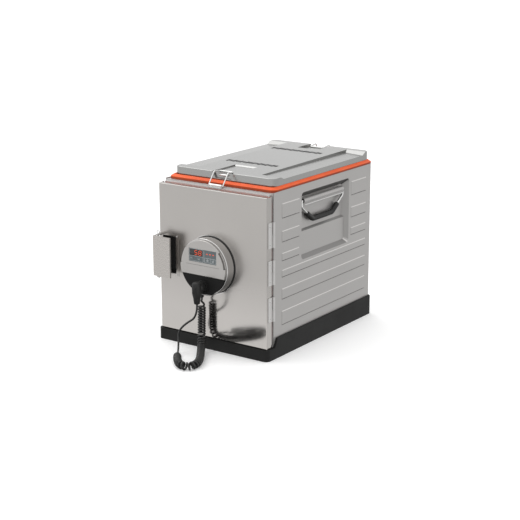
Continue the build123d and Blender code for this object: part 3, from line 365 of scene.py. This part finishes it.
def make_materials():
    return {
        # door: painted shade on the side returns (faces looking +X) and on upward faces
        "door": steel("steel_door", (0.49, 0.47, 0.45), (0.30, 0.36), (1.0, 1.0, 50.0),
                      facing=(("X", 0.5, 0.95, 0.80), ("Z", 0.4, 0.9, 0.85)), buffed=(0.12, 0.26, 0.38)),
        # lever: painted light on its back, the faces looking +Y
        "lever": steel("steel_lever", (0.50, 0.475, 0.45), (0.24, 0.30), (1.0, 1.0, 50.0),
                       depth=0.0000008, facing=(("Y", 0.3, 0.9, 1.9),), metallic=0.6),
        # side panels: painted light and shade on the rib and recess slopes by where they face, and painted
        # shade in creases
        "side": steel("steel_side", (0.42, 0.41, 0.40), (0.36, 0.42), (1.0, 40.0, 1.0), crease_shade=0.2,
                      facing=(("Z", -0.35, -0.5, 0.22), ("Z", -0.6, -0.68, 1.7), ("Y", 0.35, 0.5, 0.55),
                              ("Y", -0.6, -0.68, 0.83), ("Z", 0.38, 0.5, 1.55), ("Z", 0.58, 0.68, 0.42)),
                      metallic=0.5),
        # rail and hinge leaves: a lighter steel, partly its own finish and partly painted light on the strip
        # that sits in the seal's shade
        "rail": steel("steel_rail", (0.58, 0.57, 0.56), (0.28, 0.34), (40.0, 1.0, 1.0), metallic=0.4),
        "bracket": steel("steel_bracket", (0.44, 0.43, 0.42), (0.26, 0.32), (1.0, 40.0, 1.0), metallic=0.7),
        # lid: painted shade in creases and on faces looking +X
        "lid": steel("steel_lid", (0.365, 0.365, 0.357), (0.18, 0.24), (1.0, 40.0, 1.0), crease_shade=0.2,
                     reach=0.002, facing=(("X", 0.35, 0.85, 0.85),)),
        "inner": steel("steel_inner", (0.55, 0.54, 0.52), (0.22, 0.32), (1.0, 1.0, 40.0)),
        # drum: painted shade on faces looking +X
        "drum": steel("steel_drum", (0.60, 0.59, 0.58), (0.12, 0.17), (1.0, 50.0, 1.0),
                      facing=(("X", 0.55, 0.9, 0.82),)),
        # cover: painted shade in creases
        "cover": steel("steel_cover", (0.47, 0.455, 0.44), (0.30, 0.38), crease_shade=0.5),
        "bright": steel("steel_bright", (0.68, 0.68, 0.67), (0.08, 0.16), depth=0.00001),
        # seals: painted shade on faces that look sideways and down, painted light on upward faces
        "orange": plastic("silicone_orange", (0.66, 0.085, 0.016), (0.78, 0.11, 0.022), (0.40, 0.52),
                          500.0, gloss=0.3, facing=(("Z", 0.5, 0.15, 0.5), ("Z", 0.3, 0.8, 1.1))),
        "black": plastic("black_moulding", (0.012, 0.012, 0.0117), (0.019, 0.019, 0.0185), (0.55, 0.68),
                         gloss=0.22),
        "bay": plastic("bay_moulding", (0.007, 0.007, 0.007), (0.011, 0.011, 0.0105), (0.55, 0.68),
                       gloss=0.2),
        "rubber": plastic("black_rubber", (0.010, 0.010, 0.010), (0.018, 0.018, 0.0175), (0.38, 0.52),
                          gloss=0.35),
        "sheath": plastic("cord_sheath", (0.012, 0.012, 0.012), (0.02, 0.02, 0.02), (0.24, 0.32)),
        "display": plastic("display_slate", (0.10, 0.125, 0.135), (0.13, 0.155, 0.165), (0.25, 0.35)),
        "window": plastic("led_window", (0.022, 0.024, 0.026), (0.03, 0.033, 0.035), (0.2, 0.3)),
        "print": plastic("pale_print", (0.55, 0.57, 0.58), (0.65, 0.67, 0.68), (0.4, 0.5)),
        "keys": plastic("key_caps", (0.13, 0.155, 0.165), (0.16, 0.185, 0.195), (0.35, 0.45)),
        # marks: near black, painted shade standing for pressed dents in the lid
        "mark": plastic("pressed_marks_painted_shade", (0.02, 0.02, 0.02), (0.05, 0.05, 0.048), (0.7, 0.8), gloss=0.05),
        "foam": plastic("rigid_foam", (0.05, 0.05, 0.05), (0.09, 0.09, 0.088), (0.8, 0.95), 400.0, 0.0004),
        "board": plastic("circuit_board", (0.02, 0.12, 0.05), (0.03, 0.17, 0.07), (0.3, 0.4)),
        "element": steel("heater_metal", (0.32, 0.28, 0.25), (0.4, 0.55), cloud=0.15),
        "motor": plastic("motor_paint", (0.22, 0.22, 0.22), (0.28, 0.28, 0.28), (0.35, 0.45)),
        "digits": glowing("led_digits", (0.9, 0.09, 0.02), 0.55),
    }


CAD_LOOKS = {
    "black": ["base_tray", "latch_grip_cup", "fan_impeller"],
    "bay": ["connector_bay"],
    "side": ["right_side_panel", "left_side_panel", "rear_panel", "bottom_pan"],
    "rail": ["front_frame", "body_hinge_leaves", "door_hinge_leaves"],
    "bracket": ["right_handle_bracket", "left_handle_bracket"],
    "inner": ["inner_liner", "pan_runners", "top_frame", "door_inner_skin", "lid_inner_pan", "fan_guard",
              "heater_tube"],
    "door": ["door_outer_skin", "latch_base_plate"],
    "lever": ["latch_lever"],
    "lid": ["lid_shell"],
    "drum": ["heater_drum", "heater_collar"],
    "cover": ["control_housing"],
    "bright": ["base_screws", "hinge_pins", "clamp_brackets", "latch_keeper", "latch_hook", "latch_pin",
               "front_clamp_bail", "rear_clamp_bail", "right_handle_bail", "left_handle_bail"],
    "orange": ["lid_seal", "door_gasket"],
    "rubber": ["heater_gasket", "handle_bushings", "power_socket", "cord_gland", "curly_cord", "cord_lead",
               "parked_plug", "right_handle_grip", "left_handle_grip"],
    "foam": ["body_insulation", "door_insulation", "lid_insulation"],
    "display": ["display_window"],
    "keys": ["key_up", "key_down", "key_program", "key_power"],
    "board": ["control_board"],
    "element": ["heating_element"],
    "motor": ["fan_motor"],
}


def dress_cad(looks):
    """Give each CAD piece its look."""
    for look, names in CAD_LOOKS.items():
        for name in names:
            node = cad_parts[name]
            if not node.material_slots:
                node.data.materials.append(looks[look])
            for place in node.material_slots:
                place.material = looks[look]


# ---------------------------------------------------------------- cord and plug
CURL_POINTS = ((-20.0, -334.5, 176.0), (-21.0, -336.0, 100.0), (-21.0, -338.0, 13.5),
               (83.6, -486.9, 13.5), (24.7, -528.3, 13.5), (-45.4, -428.5, 13.5))
LEAD_POINTS = ((-45.4, -428.5, 13.5), (-62.7, -404.0, 13.5), (-75.3, -386.0, 37.5), (-75.0, -386.0, 68.0),
               (-46.0, -386.0, 98.0), (0.0, -385.5, 128.0), (0.0, -385.5, 169.0))
WIRE_R = 3.25
WIRE_STEP = 1.9           # between the rings of the cord's mesh
WIRE_SIDES = 10
ROUTE_STEP = 1.0
SPINE_STEP = 0.25         # between the points of the coil's own line
BEND_SPAN = 24            # spine points to each side over which its bend is measured
MOST_CLOSED = 0.45        # least share of the pitch that the inside of a bend keeps
COIL_R = 10.0             # middle of the wire from the middle of the coil
COIL_PITCH = 8.4          # a little air between the turns where the coil is straight
COIL_LEAD = 4.0           # straight wire before a coil starts
COIL_RUN_IN = 30.0        # length over which a coil opens out from a straight wire
SOFTEST_BEND = 9.9        # the wire never bends tighter than this while the coil opens


def route_line(name, points):
    """Points read from the smooth line of a route."""
    curve = bpy.data.curves.new(name, "CURVE")
    curve.dimensions = "3D"
    curve.resolution_u = 64
    spline = curve.splines.new("NURBS")
    spline.points.add(len(points) - 1)
    for place, point in zip(spline.points, points):
        place.co = (*mm(*point), 1.0)
    spline.order_u = 3
    spline.use_endpoint_u = True
    holder = bpy.data.objects.new(name, curve)
    scene.collection.objects.link(holder)
    bpy.context.view_layer.update()
    graph = bpy.context.evaluated_depsgraph_get()
    mesh = bpy.data.meshes.new_from_object(holder.evaluated_get(graph))
    line = [v.co.copy() for v in mesh.vertices]
    bpy.data.meshes.remove(mesh)
    bpy.data.objects.remove(holder)
    bpy.data.curves.remove(curve)
    return line


def even_line(line, step):
    """The same line with its points a set distance apart."""
    result, carry = [line[0].copy()], 0.0
    for a, b in zip(line, line[1:]):
        run = (b - a).length
        while run > 1e-9 and carry + run >= step:
            share = (step - carry) / run
            a = a.lerp(b, share)
            run = (b - a).length
            carry = 0.0
            result.append(a.copy())
        carry += run
    if (result[-1] - line[-1]).length > step * 0.3:
        result.append(line[-1].copy())
    return result


def line_length(points):
    """Length along a line of points."""
    return sum((b - a).length for a, b in zip(points, points[1:]))


def coil_line(line):
    """Centre of the curled wire: a helix round the line, with turns that open where the line bends."""
    step = SPINE_STEP * MM
    spine = even_line(line, step)
    axes = carried(spine)
    total = step * (len(spine) - 1)
    turn, helix = 0.0, []
    for i, (centre, (tangent, normal, side)) in enumerate(zip(spine, axes)):
        low, high = max(i - BEND_SPAN, 0), min(i + BEND_SPAN, len(spine) - 1)
        bend = axes[low][0].angle(axes[high][0], 0.0) / max((high - low) * step, 1e-9)
        along = i * step
        opening = (min(along, total - along) - COIL_LEAD * MM) / (COIL_RUN_IN * MM)
        opening = min(max(opening, 0.0), 1.0)
        opening = opening * opening * (3 - 2 * opening)
        radius = COIL_R * MM * opening
        easy = 2 * math.pi * math.sqrt(max(radius * (SOFTEST_BEND * MM - radius), 0.0))
        pitch = max(COIL_PITCH * MM / max(1 - radius * bend, MOST_CLOSED), easy)
        turn += 2 * math.pi * step / pitch
        helix.append(centre + round_point(turn, normal, side) * radius)
    return helix


def make_cord(looks):
    helix = coil_line(route_line("coil_route", CURL_POINTS))
    lead = even_line(route_line("lead_route", LEAD_POINTS), ROUTE_STEP * MM)
    wire = even_line(helix + lead[1:], WIRE_STEP * MM)
    mesh = tube("carrier_cord", wire, [WIRE_R * MM] * len(wire), WIRE_SIDES)
    cord = new_piece("carrier_cord", mesh, "door", looks["sheath"])
    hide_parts("curly_cord", "cord_lead")
    return cord, wire


PLUG_X, PLUG_Y = 0.0, -385.5
PLUG_NOSE_Z = 220.5
PLUG_SIDES = 32
PLUG_SQUARENESS = 0.78    # 1 is an ellipse, and less is squarer
PLUG_SECTIONS = ((169.5, 6.6, 6.6), (171.0, 8.2, 8.2), (183.0, 9.6, 9.4), (190.0, 10.8, 10.6),
                 (197.0, 12.6, 12.4), (206.0, 13.8, 13.6), (222.0, 14.2, 14.2), (234.0, 13.8, 13.8),
                 (238.0, 12.0, 12.0), (239.6, 9.0, 9.0))    # (z, half width in X, half width in Y)
PLUG_NOSE = ((13.6, -349.7), (13.8, -362.0), (16.4, -363.9), (16.9, -366.0), (16.9, -376.0), (16.0, -380.0),
             (13.0, -384.0))


def squared(value):
    """A sine or cosine bent towards a square's."""
    return math.copysign(abs(value) ** PLUG_SQUARENESS, value)


def make_plug(looks):
    """Angled plug parked on the heater: moulded body with a grip, ribbed tail and round nose."""
    verts = []
    for z, half_x, half_y in PLUG_SECTIONS:
        for k in range(PLUG_SIDES):
            turn = 2 * math.pi * k / PLUG_SIDES
            verts.append(mm(PLUG_X + squared(math.cos(turn)) * half_x,
                            PLUG_Y + squared(math.sin(turn)) * half_y, z))
    body = mesh_from("plug_body", verts, stitch(len(PLUG_SECTIONS), PLUG_SIDES))
    nose = lathe("nose", PLUG_NOSE, (PLUG_X, 0, PLUG_NOSE_Z), "Y", 64)
    plug = new_piece("plug_body", sharp_edges(join("plug_body", [body, nose]), 50), "door",
                     looks["rubber"])
    ribs = []
    for k in range(5):
        z = 172.5 + 3.4 * k
        r = 8.3 + 0.45 * k
        ribs.append(lathe("rib", [(r, z - 0.9), (r + 1.2, z - 0.6), (r + 1.2, z + 0.6), (r, z + 0.9)],
                          (PLUG_X, PLUG_Y, 0), "Z", 28))
    for k in range(6):
        z = 205.0 + 4.2 * k
        ribs.append(soft_box("grip_rib", (PLUG_X - 8.0, PLUG_X + 8.0), (PLUG_Y - 14.9, PLUG_Y - 12.4),
                             (z - 0.9, z + 0.9), 0.5, 2))
    relief = new_piece("plug_strain_relief", sharp_edges(join("plug_strain_relief", ribs)), "door",
                       looks["rubber"])
    relief.parent = plug
    relief.matrix_parent_inverse = Matrix.Identity(4)
    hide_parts("parked_plug")
    return [plug, relief]


def make_gland(looks):
    """Tapered boot where the cord leaves the heater."""
    profile = [(10.6, 204.0), (10.8, 200.0)]
    for k in range(6):
        z = 198.5 - 3.9 * k
        r = 10.4 - 0.85 * k
        profile += [(r, z), (r, z - 1.6), (r - 1.3, z - 2.0), (r - 1.3, z - 3.4)]
    profile += [(5.2, 176.6), (3.6, 176.2)]
    boot = lathe("gland_boot", profile, (*CURL_POINTS[0][:2], 0), "Z", 36)
    gland = new_piece("gland_boot", sharp_edges(boot), "door", looks["rubber"])
    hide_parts("cord_gland")


# ---------------------------------------------------------------- seals
def make_lid_seal(looks):
    """Silicone band round the lid: rounded foot, bevelled shoulder and a thin lip against the shell."""
    profile = [(0.0, 523.4), (-0.9, 522.4), (-12.0, 522.3), (-15.5, 524.0), (-15.5, 533.0), (-11.9, 536.9),
               (-10.4, 536.9), (-8.6, 535.6), (-3.4, 532.2), (-1.0, 531.2), (-0.1, 530.0), (0.0, 528.0)]
    path = ring_path(205.5, -262.5, 325.5, 22.0, ALONG_Y, 14)
    band = ring_sweep("lid_seal_band", path, profile, ALONG_Z)
    seal = new_piece("lid_seal_band", sharp_edges(band, 34), "lid", looks["orange"])
    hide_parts("lid_seal")


def make_door_seal(looks):
    """Silicone frame between door and body, with twin lips and a top lip over the gap."""
    profile = [(0.0, -280.3), (0.0, -276.5), (-1.4, -273.2), (-3.0, -272.9), (-4.6, -273.2), (-6.0, -275.8),
               (-9.0, -276.0), (-10.4, -273.4), (-12.0, -272.9), (-13.6, -273.2), (-15.0, -276.5),
               (-20.0, -278.5), (-24.0, -280.3)]
    path = ring_path(199.0, 48.0, 506.0, 22.0, ALONG_Z, 8)
    frame_mesh = ring_sweep("door_seal", path, profile, ALONG_Y)
    lip = soft_box("lip", (-199, 199), (-293.1, -272.9), (511.3, 513.7), 0.8, 3)
    seal = new_piece("door_seal_frame", sharp_edges(join("door_seal_frame", [frame_mesh, lip]), 40), "door",
                     looks["orange"])
    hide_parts("door_gasket")


# ---------------------------------------------------------------- handles
GRIP_SPAN = ((-74.0, 423.8), (-43.0, 402.0), (74.0, 402.0), (105.0, 424.0))    # (y, z) of its corners
GRIP_X = 200.0
GRIP_R = 8.5
GRIP_STEP = 1.2
GRIP_SMOOTHING = 30       # passes that round the corners
GRIP_RIBBED = (0.22, 0.78)    # share of the length that carries finger ribs
GRIP_RIB, GRIP_RIB_PITCH = 0.35, 4.8
GRIP_END, GRIP_END_R, GRIP_END_RISE = 3.0, 7.4, 1.5    # rounded flange at both ends


def smooth_line(points):
    """Points at an even step along a line with corners, with the corners rounded."""
    dense = []
    for a, b in zip(points, points[1:]):
        count = max(int((b - a).length / GRIP_STEP), 2)
        dense += [a.lerp(b, k / count) for k in range(count)]
    dense.append(points[-1])
    for _ in range(GRIP_SMOOTHING):
        middle = [(a + b * 2 + c) / 4 for a, b, c in zip(dense, dense[1:], dense[2:])]
        dense = [dense[0], *middle, dense[-1]]
    return dense


def grip_radius(run, total):
    """Radius at a distance along the grip."""
    near = min(run, total - run)
    if near < GRIP_END:
        return GRIP_END_R + GRIP_END_RISE * math.sin(math.pi * near / GRIP_END / 2)
    if GRIP_RIBBED[0] < run / total < GRIP_RIBBED[1]:
        return GRIP_R + GRIP_RIB * math.cos(2 * math.pi * run / GRIP_RIB_PITCH)
    return GRIP_R


def make_grips(looks):
    """Moulded grips with finger ribs, a flange at both ends and angled shoulders."""
    for name, side, body, cad in (("right_grip_cover", 1, "right_handle", "right_handle_grip"),
                                  ("left_grip_cover", -1, "left_handle", "left_handle_grip")):
        line = smooth_line([Vector((GRIP_X * side, y, z)) for y, z in GRIP_SPAN])
        total = line_length(line)
        radii = [grip_radius(line_length(line[:i + 1]), total) * MM for i in range(len(line))]
        mesh = tube(name, [p * MM for p in line], radii, 28)
        grip = new_piece(name, mesh, body, looks["rubber"])
        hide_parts(cad)


HEM_X, HEM_Z = 205.5, 456.3
HEM_START, HEM_STEP, HEM_POINTS = -98.0, 4.6, 51
HEM_R, HEM_END_R = 2.0, 1.2


def make_bracket_wires(looks):
    """Bright wire rolled into the lower edge of each handle bracket."""
    for name, side in (("right_bracket_wire", 1), ("left_bracket_wire", -1)):
        line = [mm(HEM_X * side, HEM_START + HEM_STEP * k, HEM_Z) for k in range(HEM_POINTS)]
        radii = [HEM_END_R * MM] + [HEM_R * MM] * (HEM_POINTS - 2) + [HEM_END_R * MM]
        new_piece(name, sharp_edges(tube(name, line, radii, 16)), "carcass", looks["bright"])


# ---------------------------------------------------------------- display and keys
def bar(name, x0, z0, x1, z1, width, y, thick):
    """Thin raised stroke on the front of the controls, from one point to another, in millimetres."""
    a, b = Vector((x0, 0, z0)), Vector((x1, 0, z1))
    along = (b - a).normalized()
    side = Vector((-along.z, 0, along.x)) * width / 2
    points = [a + side, a - side, b - side, b + side]
    verts = [(p + Vector((0, y, 0))) * MM for p in points]
    verts += [(p + Vector((0, y - thick, 0))) * MM for p in points]
    faces = [(0, 1, 2, 3), (7, 6, 5, 4), (0, 4, 5, 1), (1, 5, 6, 2), (2, 6, 7, 3), (3, 7, 4, 0)]
    return mesh_from(name, verts, faces)


DISPLAY_Y = -355.2        # front of the display plate
SEGMENTS = {"5": "acdfg", "8": "abcdefg"}
SEGMENT_ENDS = {"a": (0, 1, 1, 1), "b": (1, 1, 1, 0.5), "c": (1, 0.5, 1, 0), "d": (0, 0, 1, 0),
                "e": (0, 0, 0, 0.5), "f": (0, 0.5, 0, 1), "g": (0, 0.5, 1, 0.5)}
DIGIT_W, DIGIT_H, DIGIT_Z = 9.5, 14.0, 317.3
DIGIT_LEAN = 0.09
DIGIT_GAP = 0.9           # bare end of each segment
DIGIT_STROKE = 1.4


def digit(character, x):
    """Seven-segment digit with slanted strokes."""
    strokes = []
    for name in SEGMENTS[character]:
        u0, v0, u1, v1 = SEGMENT_ENDS[name]
        p0 = Vector((x + u0 * DIGIT_W + DIGIT_LEAN * v0 * DIGIT_H, 0, DIGIT_Z + v0 * DIGIT_H))
        p1 = Vector((x + u1 * DIGIT_W + DIGIT_LEAN * v1 * DIGIT_H, 0, DIGIT_Z + v1 * DIGIT_H))
        gap = (p1 - p0).normalized() * DIGIT_GAP
        p0, p1 = p0 + gap, p1 - gap
        strokes.append(bar("segment", p0.x, p0.z, p1.x, p1.z, DIGIT_STROKE, DISPLAY_Y - 0.4, 0.2))
    return strokes


def make_display(looks):
    """Dark window with two lit digits, three lamps and a pale ruled border."""
    window = soft_box("led_window", (-49.5, 1.5), (DISPLAY_Y - 0.45, DISPLAY_Y + 0.2), (314.0, 334.5), 0.3, 2)
    new_piece("led_window", sharp_edges(window), "door", looks["window"])
    strokes = digit("5", -30.0) + digit("8", -14.5)
    new_piece("led_digits", join("led_digits", strokes), "door", looks["digits"], False)
    lamps = [bar("lamp", x, 325.0, x + 6.0, 325.0, 2.2, DISPLAY_Y, 0.25) for x in (15.0, 27.0, 39.0)]
    new_piece("status_lamps", join("status_lamps", lamps), "door", looks["digits"], False)
    border = ((-50.6, 313.0, 2.6, 313.0), (-50.6, 335.6, 2.6, 335.6), (-50.6, 297.2, -50.6, 335.6),
              (2.6, 297.2, 2.6, 335.6), (-50.6, 297.2, 2.6, 297.2), (6.5, 297.0, 6.5, 335.0),
              (9.0, 298.2, 52.0, 298.2), (9.0, 311.9, 52.0, 311.9), (9.0, 298.2, 9.0, 311.9),
              (52.0, 298.2, 52.0, 311.9), (30.5, 298.2, 30.5, 311.9))
    lines = [bar("rule", *place, 0.7, DISPLAY_Y, 0.1) for place in border]
    new_piece("display_rules", join("display_rules", lines), "door", looks["print"], False)


ICON_Y, ICON_Z = -355.6, 305.0
ICON_STROKE, ICON_THICK = 0.9, 0.12
ICON_RING_R = 3.0


def ring_strokes(start, end, step):
    """Straight strokes round part of a circle, clockwise from the top, in degrees."""
    places = [(ICON_RING_R * math.sin(math.radians(a)), ICON_RING_R * math.cos(math.radians(a)))
              for a in range(start, end + step, step)]
    return [(*a, *b) for a, b in zip(places, places[1:])]


def make_key_icons(looks):
    """Raised icons: two arrows, a program square and an on-off ring."""
    icons = {
        "up_key": ("icon_up", -43.0, [(-3, -1.5, 0, 2), (0, 2, 3, -1.5)]),
        "down_key": ("icon_down", -14.0, [(-3, 1.5, 0, -2), (0, -2, 3, 1.5)]),
        "program_key": ("icon_program", 20.0, [(-2.6, -2.6, 2.6, -2.6), (2.6, -2.6, 2.6, 2.6),
                                               (2.6, 2.6, -2.6, 2.6), (-2.6, 2.6, -2.6, -2.6),
                                               (-1.4, 0, 1.4, 0)]),
        "power_key": ("icon_power", 41.0, [(0, 0.6, 0, 3.4)] + ring_strokes(30, 330, 30)),
    }
    for body, (name, x, strokes) in icons.items():
        parts = [bar("stroke", x + a, ICON_Z + b, x + c, ICON_Z + d, ICON_STROKE, ICON_Y, ICON_THICK)
                 for a, b, c, d in strokes]
        new_piece(name, join(name, parts), body, looks["print"], False)


# ---------------------------------------------------------------- trim
def make_cup_ribs(looks):
    """Upright ribs inside the black grip cup of the latch."""
    ribs = [soft_box("rib", (-192.0, -145.0), (-289.8, -287.9), (232.0 + 9.0 * k, 233.6 + 9.0 * k), 0.4, 2)
            for k in range(13)]
    new_piece("latch_cup_ribs", sharp_edges(join("latch_cup_ribs", ribs)), "door",
              looks["black"])


SCREW_RISE = 1.1
HINGE_PLATES = ((357, 437), (240, 318), (123, 201))    # foot and top of each


def screw_head(x, y, z, radius, axis, out):
    """Domed screw head with a round recess, standing out along +axis (out 1) or -axis (out -1)."""
    dome = ((radius, 0.0), (radius, 0.3), (radius * 0.86, SCREW_RISE * 0.75), (radius * 0.55, SCREW_RISE),
            (0.9, SCREW_RISE), (0.6, SCREW_RISE - 0.5))
    return lathe("screw", [(r, a * out) for r, a in dome], (x, y, z), axis, 24)


def make_screws(looks):
    """Fixings on the latch plate, hinge plates and rear panel."""
    door = [screw_head(x, -307.5, z, 2.6, "Y", -1) for x in (-200.0, -138.0) for z in (223.0, 348.0)]
    new_piece("latch_plate_screws", sharp_edges(join("latch_plate_screws", door)), "door",
              looks["bright"])
    sides = [screw_head(209.5, -290.0, z, 2.2, "X", 1) for low, high in HINGE_PLATES
             for z in (low + 12, high - 12)]
    new_piece("hinge_screws", sharp_edges(join("hinge_screws", sides)), "door",
              looks["bright"])
    rear = [screw_head(x, 306.5, z, 2.8, "Y", 1) for x in (-176, 176) for z in (80, 230, 350, 500)]
    new_piece("rear_panel_screws", sharp_edges(join("rear_panel_screws", rear)), "carcass",
              looks["bright"])


LID_FRONT_TOP = 561.3     # height of the lid's raised middle at its front
LID_FRONT_Y = -209.0      # where it starts to climb
LID_RISE = 3.7 / 500.0    # how much it climbs per millimetre towards the rear
MARK_ROWS = (-74.0, 183.5)
MARKS_A_ROW = 16
MARK_START, MARK_PITCH = -104.0, 12.5
MARK_HALF_W = 4.4
MARK_HALF_LENGTHS = (11.0, 8.0, 12.0, 9.5)


def make_lid_marks(looks):
    """Rows of small pressed marks across the raised middle of the lid, painted near black as their shade."""
    marks = []
    for y in MARK_ROWS:
        for k in range(MARKS_A_ROW):
            x = MARK_START + MARK_PITCH * k
            half = MARK_HALF_LENGTHS[k % len(MARK_HALF_LENGTHS)]
            top = LID_FRONT_TOP + (y + half - LID_FRONT_Y) * LID_RISE + 0.15
            marks.append(soft_box("mark", (x - MARK_HALF_W, x + MARK_HALF_W), (y - half, y + half),
                                  (top - 1.2, top), 0.12, 1))
    new_piece("lid_marks", join("lid_marks", marks), "lid", looks["mark"], False)


def make_clamp_bead(looks):
    """Rolled bead in the scoop under the front clamp bail."""
    profile = [(1.6, -17.4), (2.6, -17.0), (3.1, -16.0), (3.1, 16.0), (2.6, 17.0), (1.6, 17.4)]
    bead = lathe("lid_clamp_bead", profile, (0.0, -241.3, 551.5), "X", 24)
    new_piece("lid_clamp_bead", sharp_edges(bead), "lid", looks["bright"])


# ---------------------------------------------------------------- stage
FLOOR_HALF = 30.0
FLOOR_DROP = 0.0005       # keeps it clear of the faces that stand on it
WORLD_LEVELS = ((0.0, 0.10), (0.15, 0.2), (0.22, 0.42), (0.28, 0.6), (0.335, 1.14), (0.40, 0.93), (0.5, 0.95),
                (0.75, 0.97), (1.0, 1.0))    # from straight down to straight up
WORLD_PATCHES = (((0.20, 0.79, 0.58), 0.93, 0.985, 0.75),     # dark screen: (direction, edge, core, level)
                 ((-0.556, 0.2, 0.807), 0.93, 0.98, 2.2))     # overhead softbox
LAMPS = (("key", (-2.3, -1.1, 3.6), (0, 0, 0.3), 2.6, 28.0),  # (name, place, aim, size, power)
         ("top", (0.3, 0.6, 3.8), (0, 0, 0.5), 2.6, 20.0))


def make_floor():
    """Plain pale floor that fills the view."""
    h = FLOOR_HALF
    mesh = mesh_from("floor", [(-h, -h, 0), (h, -h, 0), (h, h, 0), (-h, h, 0)], [(0, 1, 2, 3)])
    floor = bpy.data.objects.new("floor", mesh)
    scene.collection.objects.link(floor)
    n = Surface("floor_white")
    n.set("Roughness", 0.9)
    n.set("Base Color", (0.98, 0.98, 0.98, 1))
    n.set("Emission Color", (1, 1, 1, 1))
    n.set("Emission Strength", 0.12)
    mesh.materials.append(n.material)
    floor.location.z = -FLOOR_DROP
    floor.visible_glossy = False
    floor.visible_diffuse = False


def make_world():
    """Grey studio: lighter towards the top, with a dark screen and a softbox for the steel to reflect."""
    world = bpy.data.worlds.new("studio")
    scene.world = world
    world.use_nodes = True
    n = Nodes(world.node_tree)
    direction = n.add("ShaderNodeTexCoord").outputs["Generated"]
    height = n.map_range(n.split(direction).outputs["Z"], -1.0, 1.0, 0.0, 1.0, smooth=False)
    ramp = n.add("ShaderNodeValToRGB")
    elements = ramp.color_ramp.elements
    while len(elements) < len(WORLD_LEVELS):
        elements.new(0.5)
    for element, (place, level) in zip(elements, WORLD_LEVELS):
        element.position = place
        element.color = (level, level, level, 1)
    n.link(height, ramp, "Fac")
    patches = []
    for aim, edge, core, level in WORLD_PATCHES:
        facing = n.add("ShaderNodeVectorMath", operation="DOT_PRODUCT")
        facing.inputs[1].default_value = aim
        n.link(direction, facing, 0)
        patches.append(n.map_range(facing.outputs["Value"], edge, core, 1.0, level))
    n.link(n.scaled(ramp.outputs["Color"], n.product(*patches)), n.tree.nodes["Background"], "Color")


def make_lamps():
    for name, place, aim, size, power in LAMPS:
        data = bpy.data.lights.new(name, "AREA")
        data.size = size
        data.energy = power
        lamp = bpy.data.objects.new(name, data)
        scene.collection.objects.link(lamp)
        lamp.location = place
        lamp.rotation_mode = "QUATERNION"
        lamp.rotation_quaternion = (Vector(aim) - Vector(place)).to_track_quat("-Z", "Y")


# ---------------------------------------------------------------- build
def main():
    scene.view_settings.view_transform = "Standard"
    make_camera()
    looks = make_materials()
    dress_cad(looks)
    cord, wire = make_cord(looks)
    plug = make_plug(looks)
    make_gland(looks)
    make_lid_seal(looks)
    make_door_seal(looks)
    make_grips(looks)
    make_bracket_wires(looks)
    make_display(looks)
    make_key_icons(looks)
    make_cup_ribs(looks)
    make_screws(looks)
    make_lid_marks(looks)
    make_clamp_bead(looks)
    make_floor()
    make_world()
    make_lamps()


main()
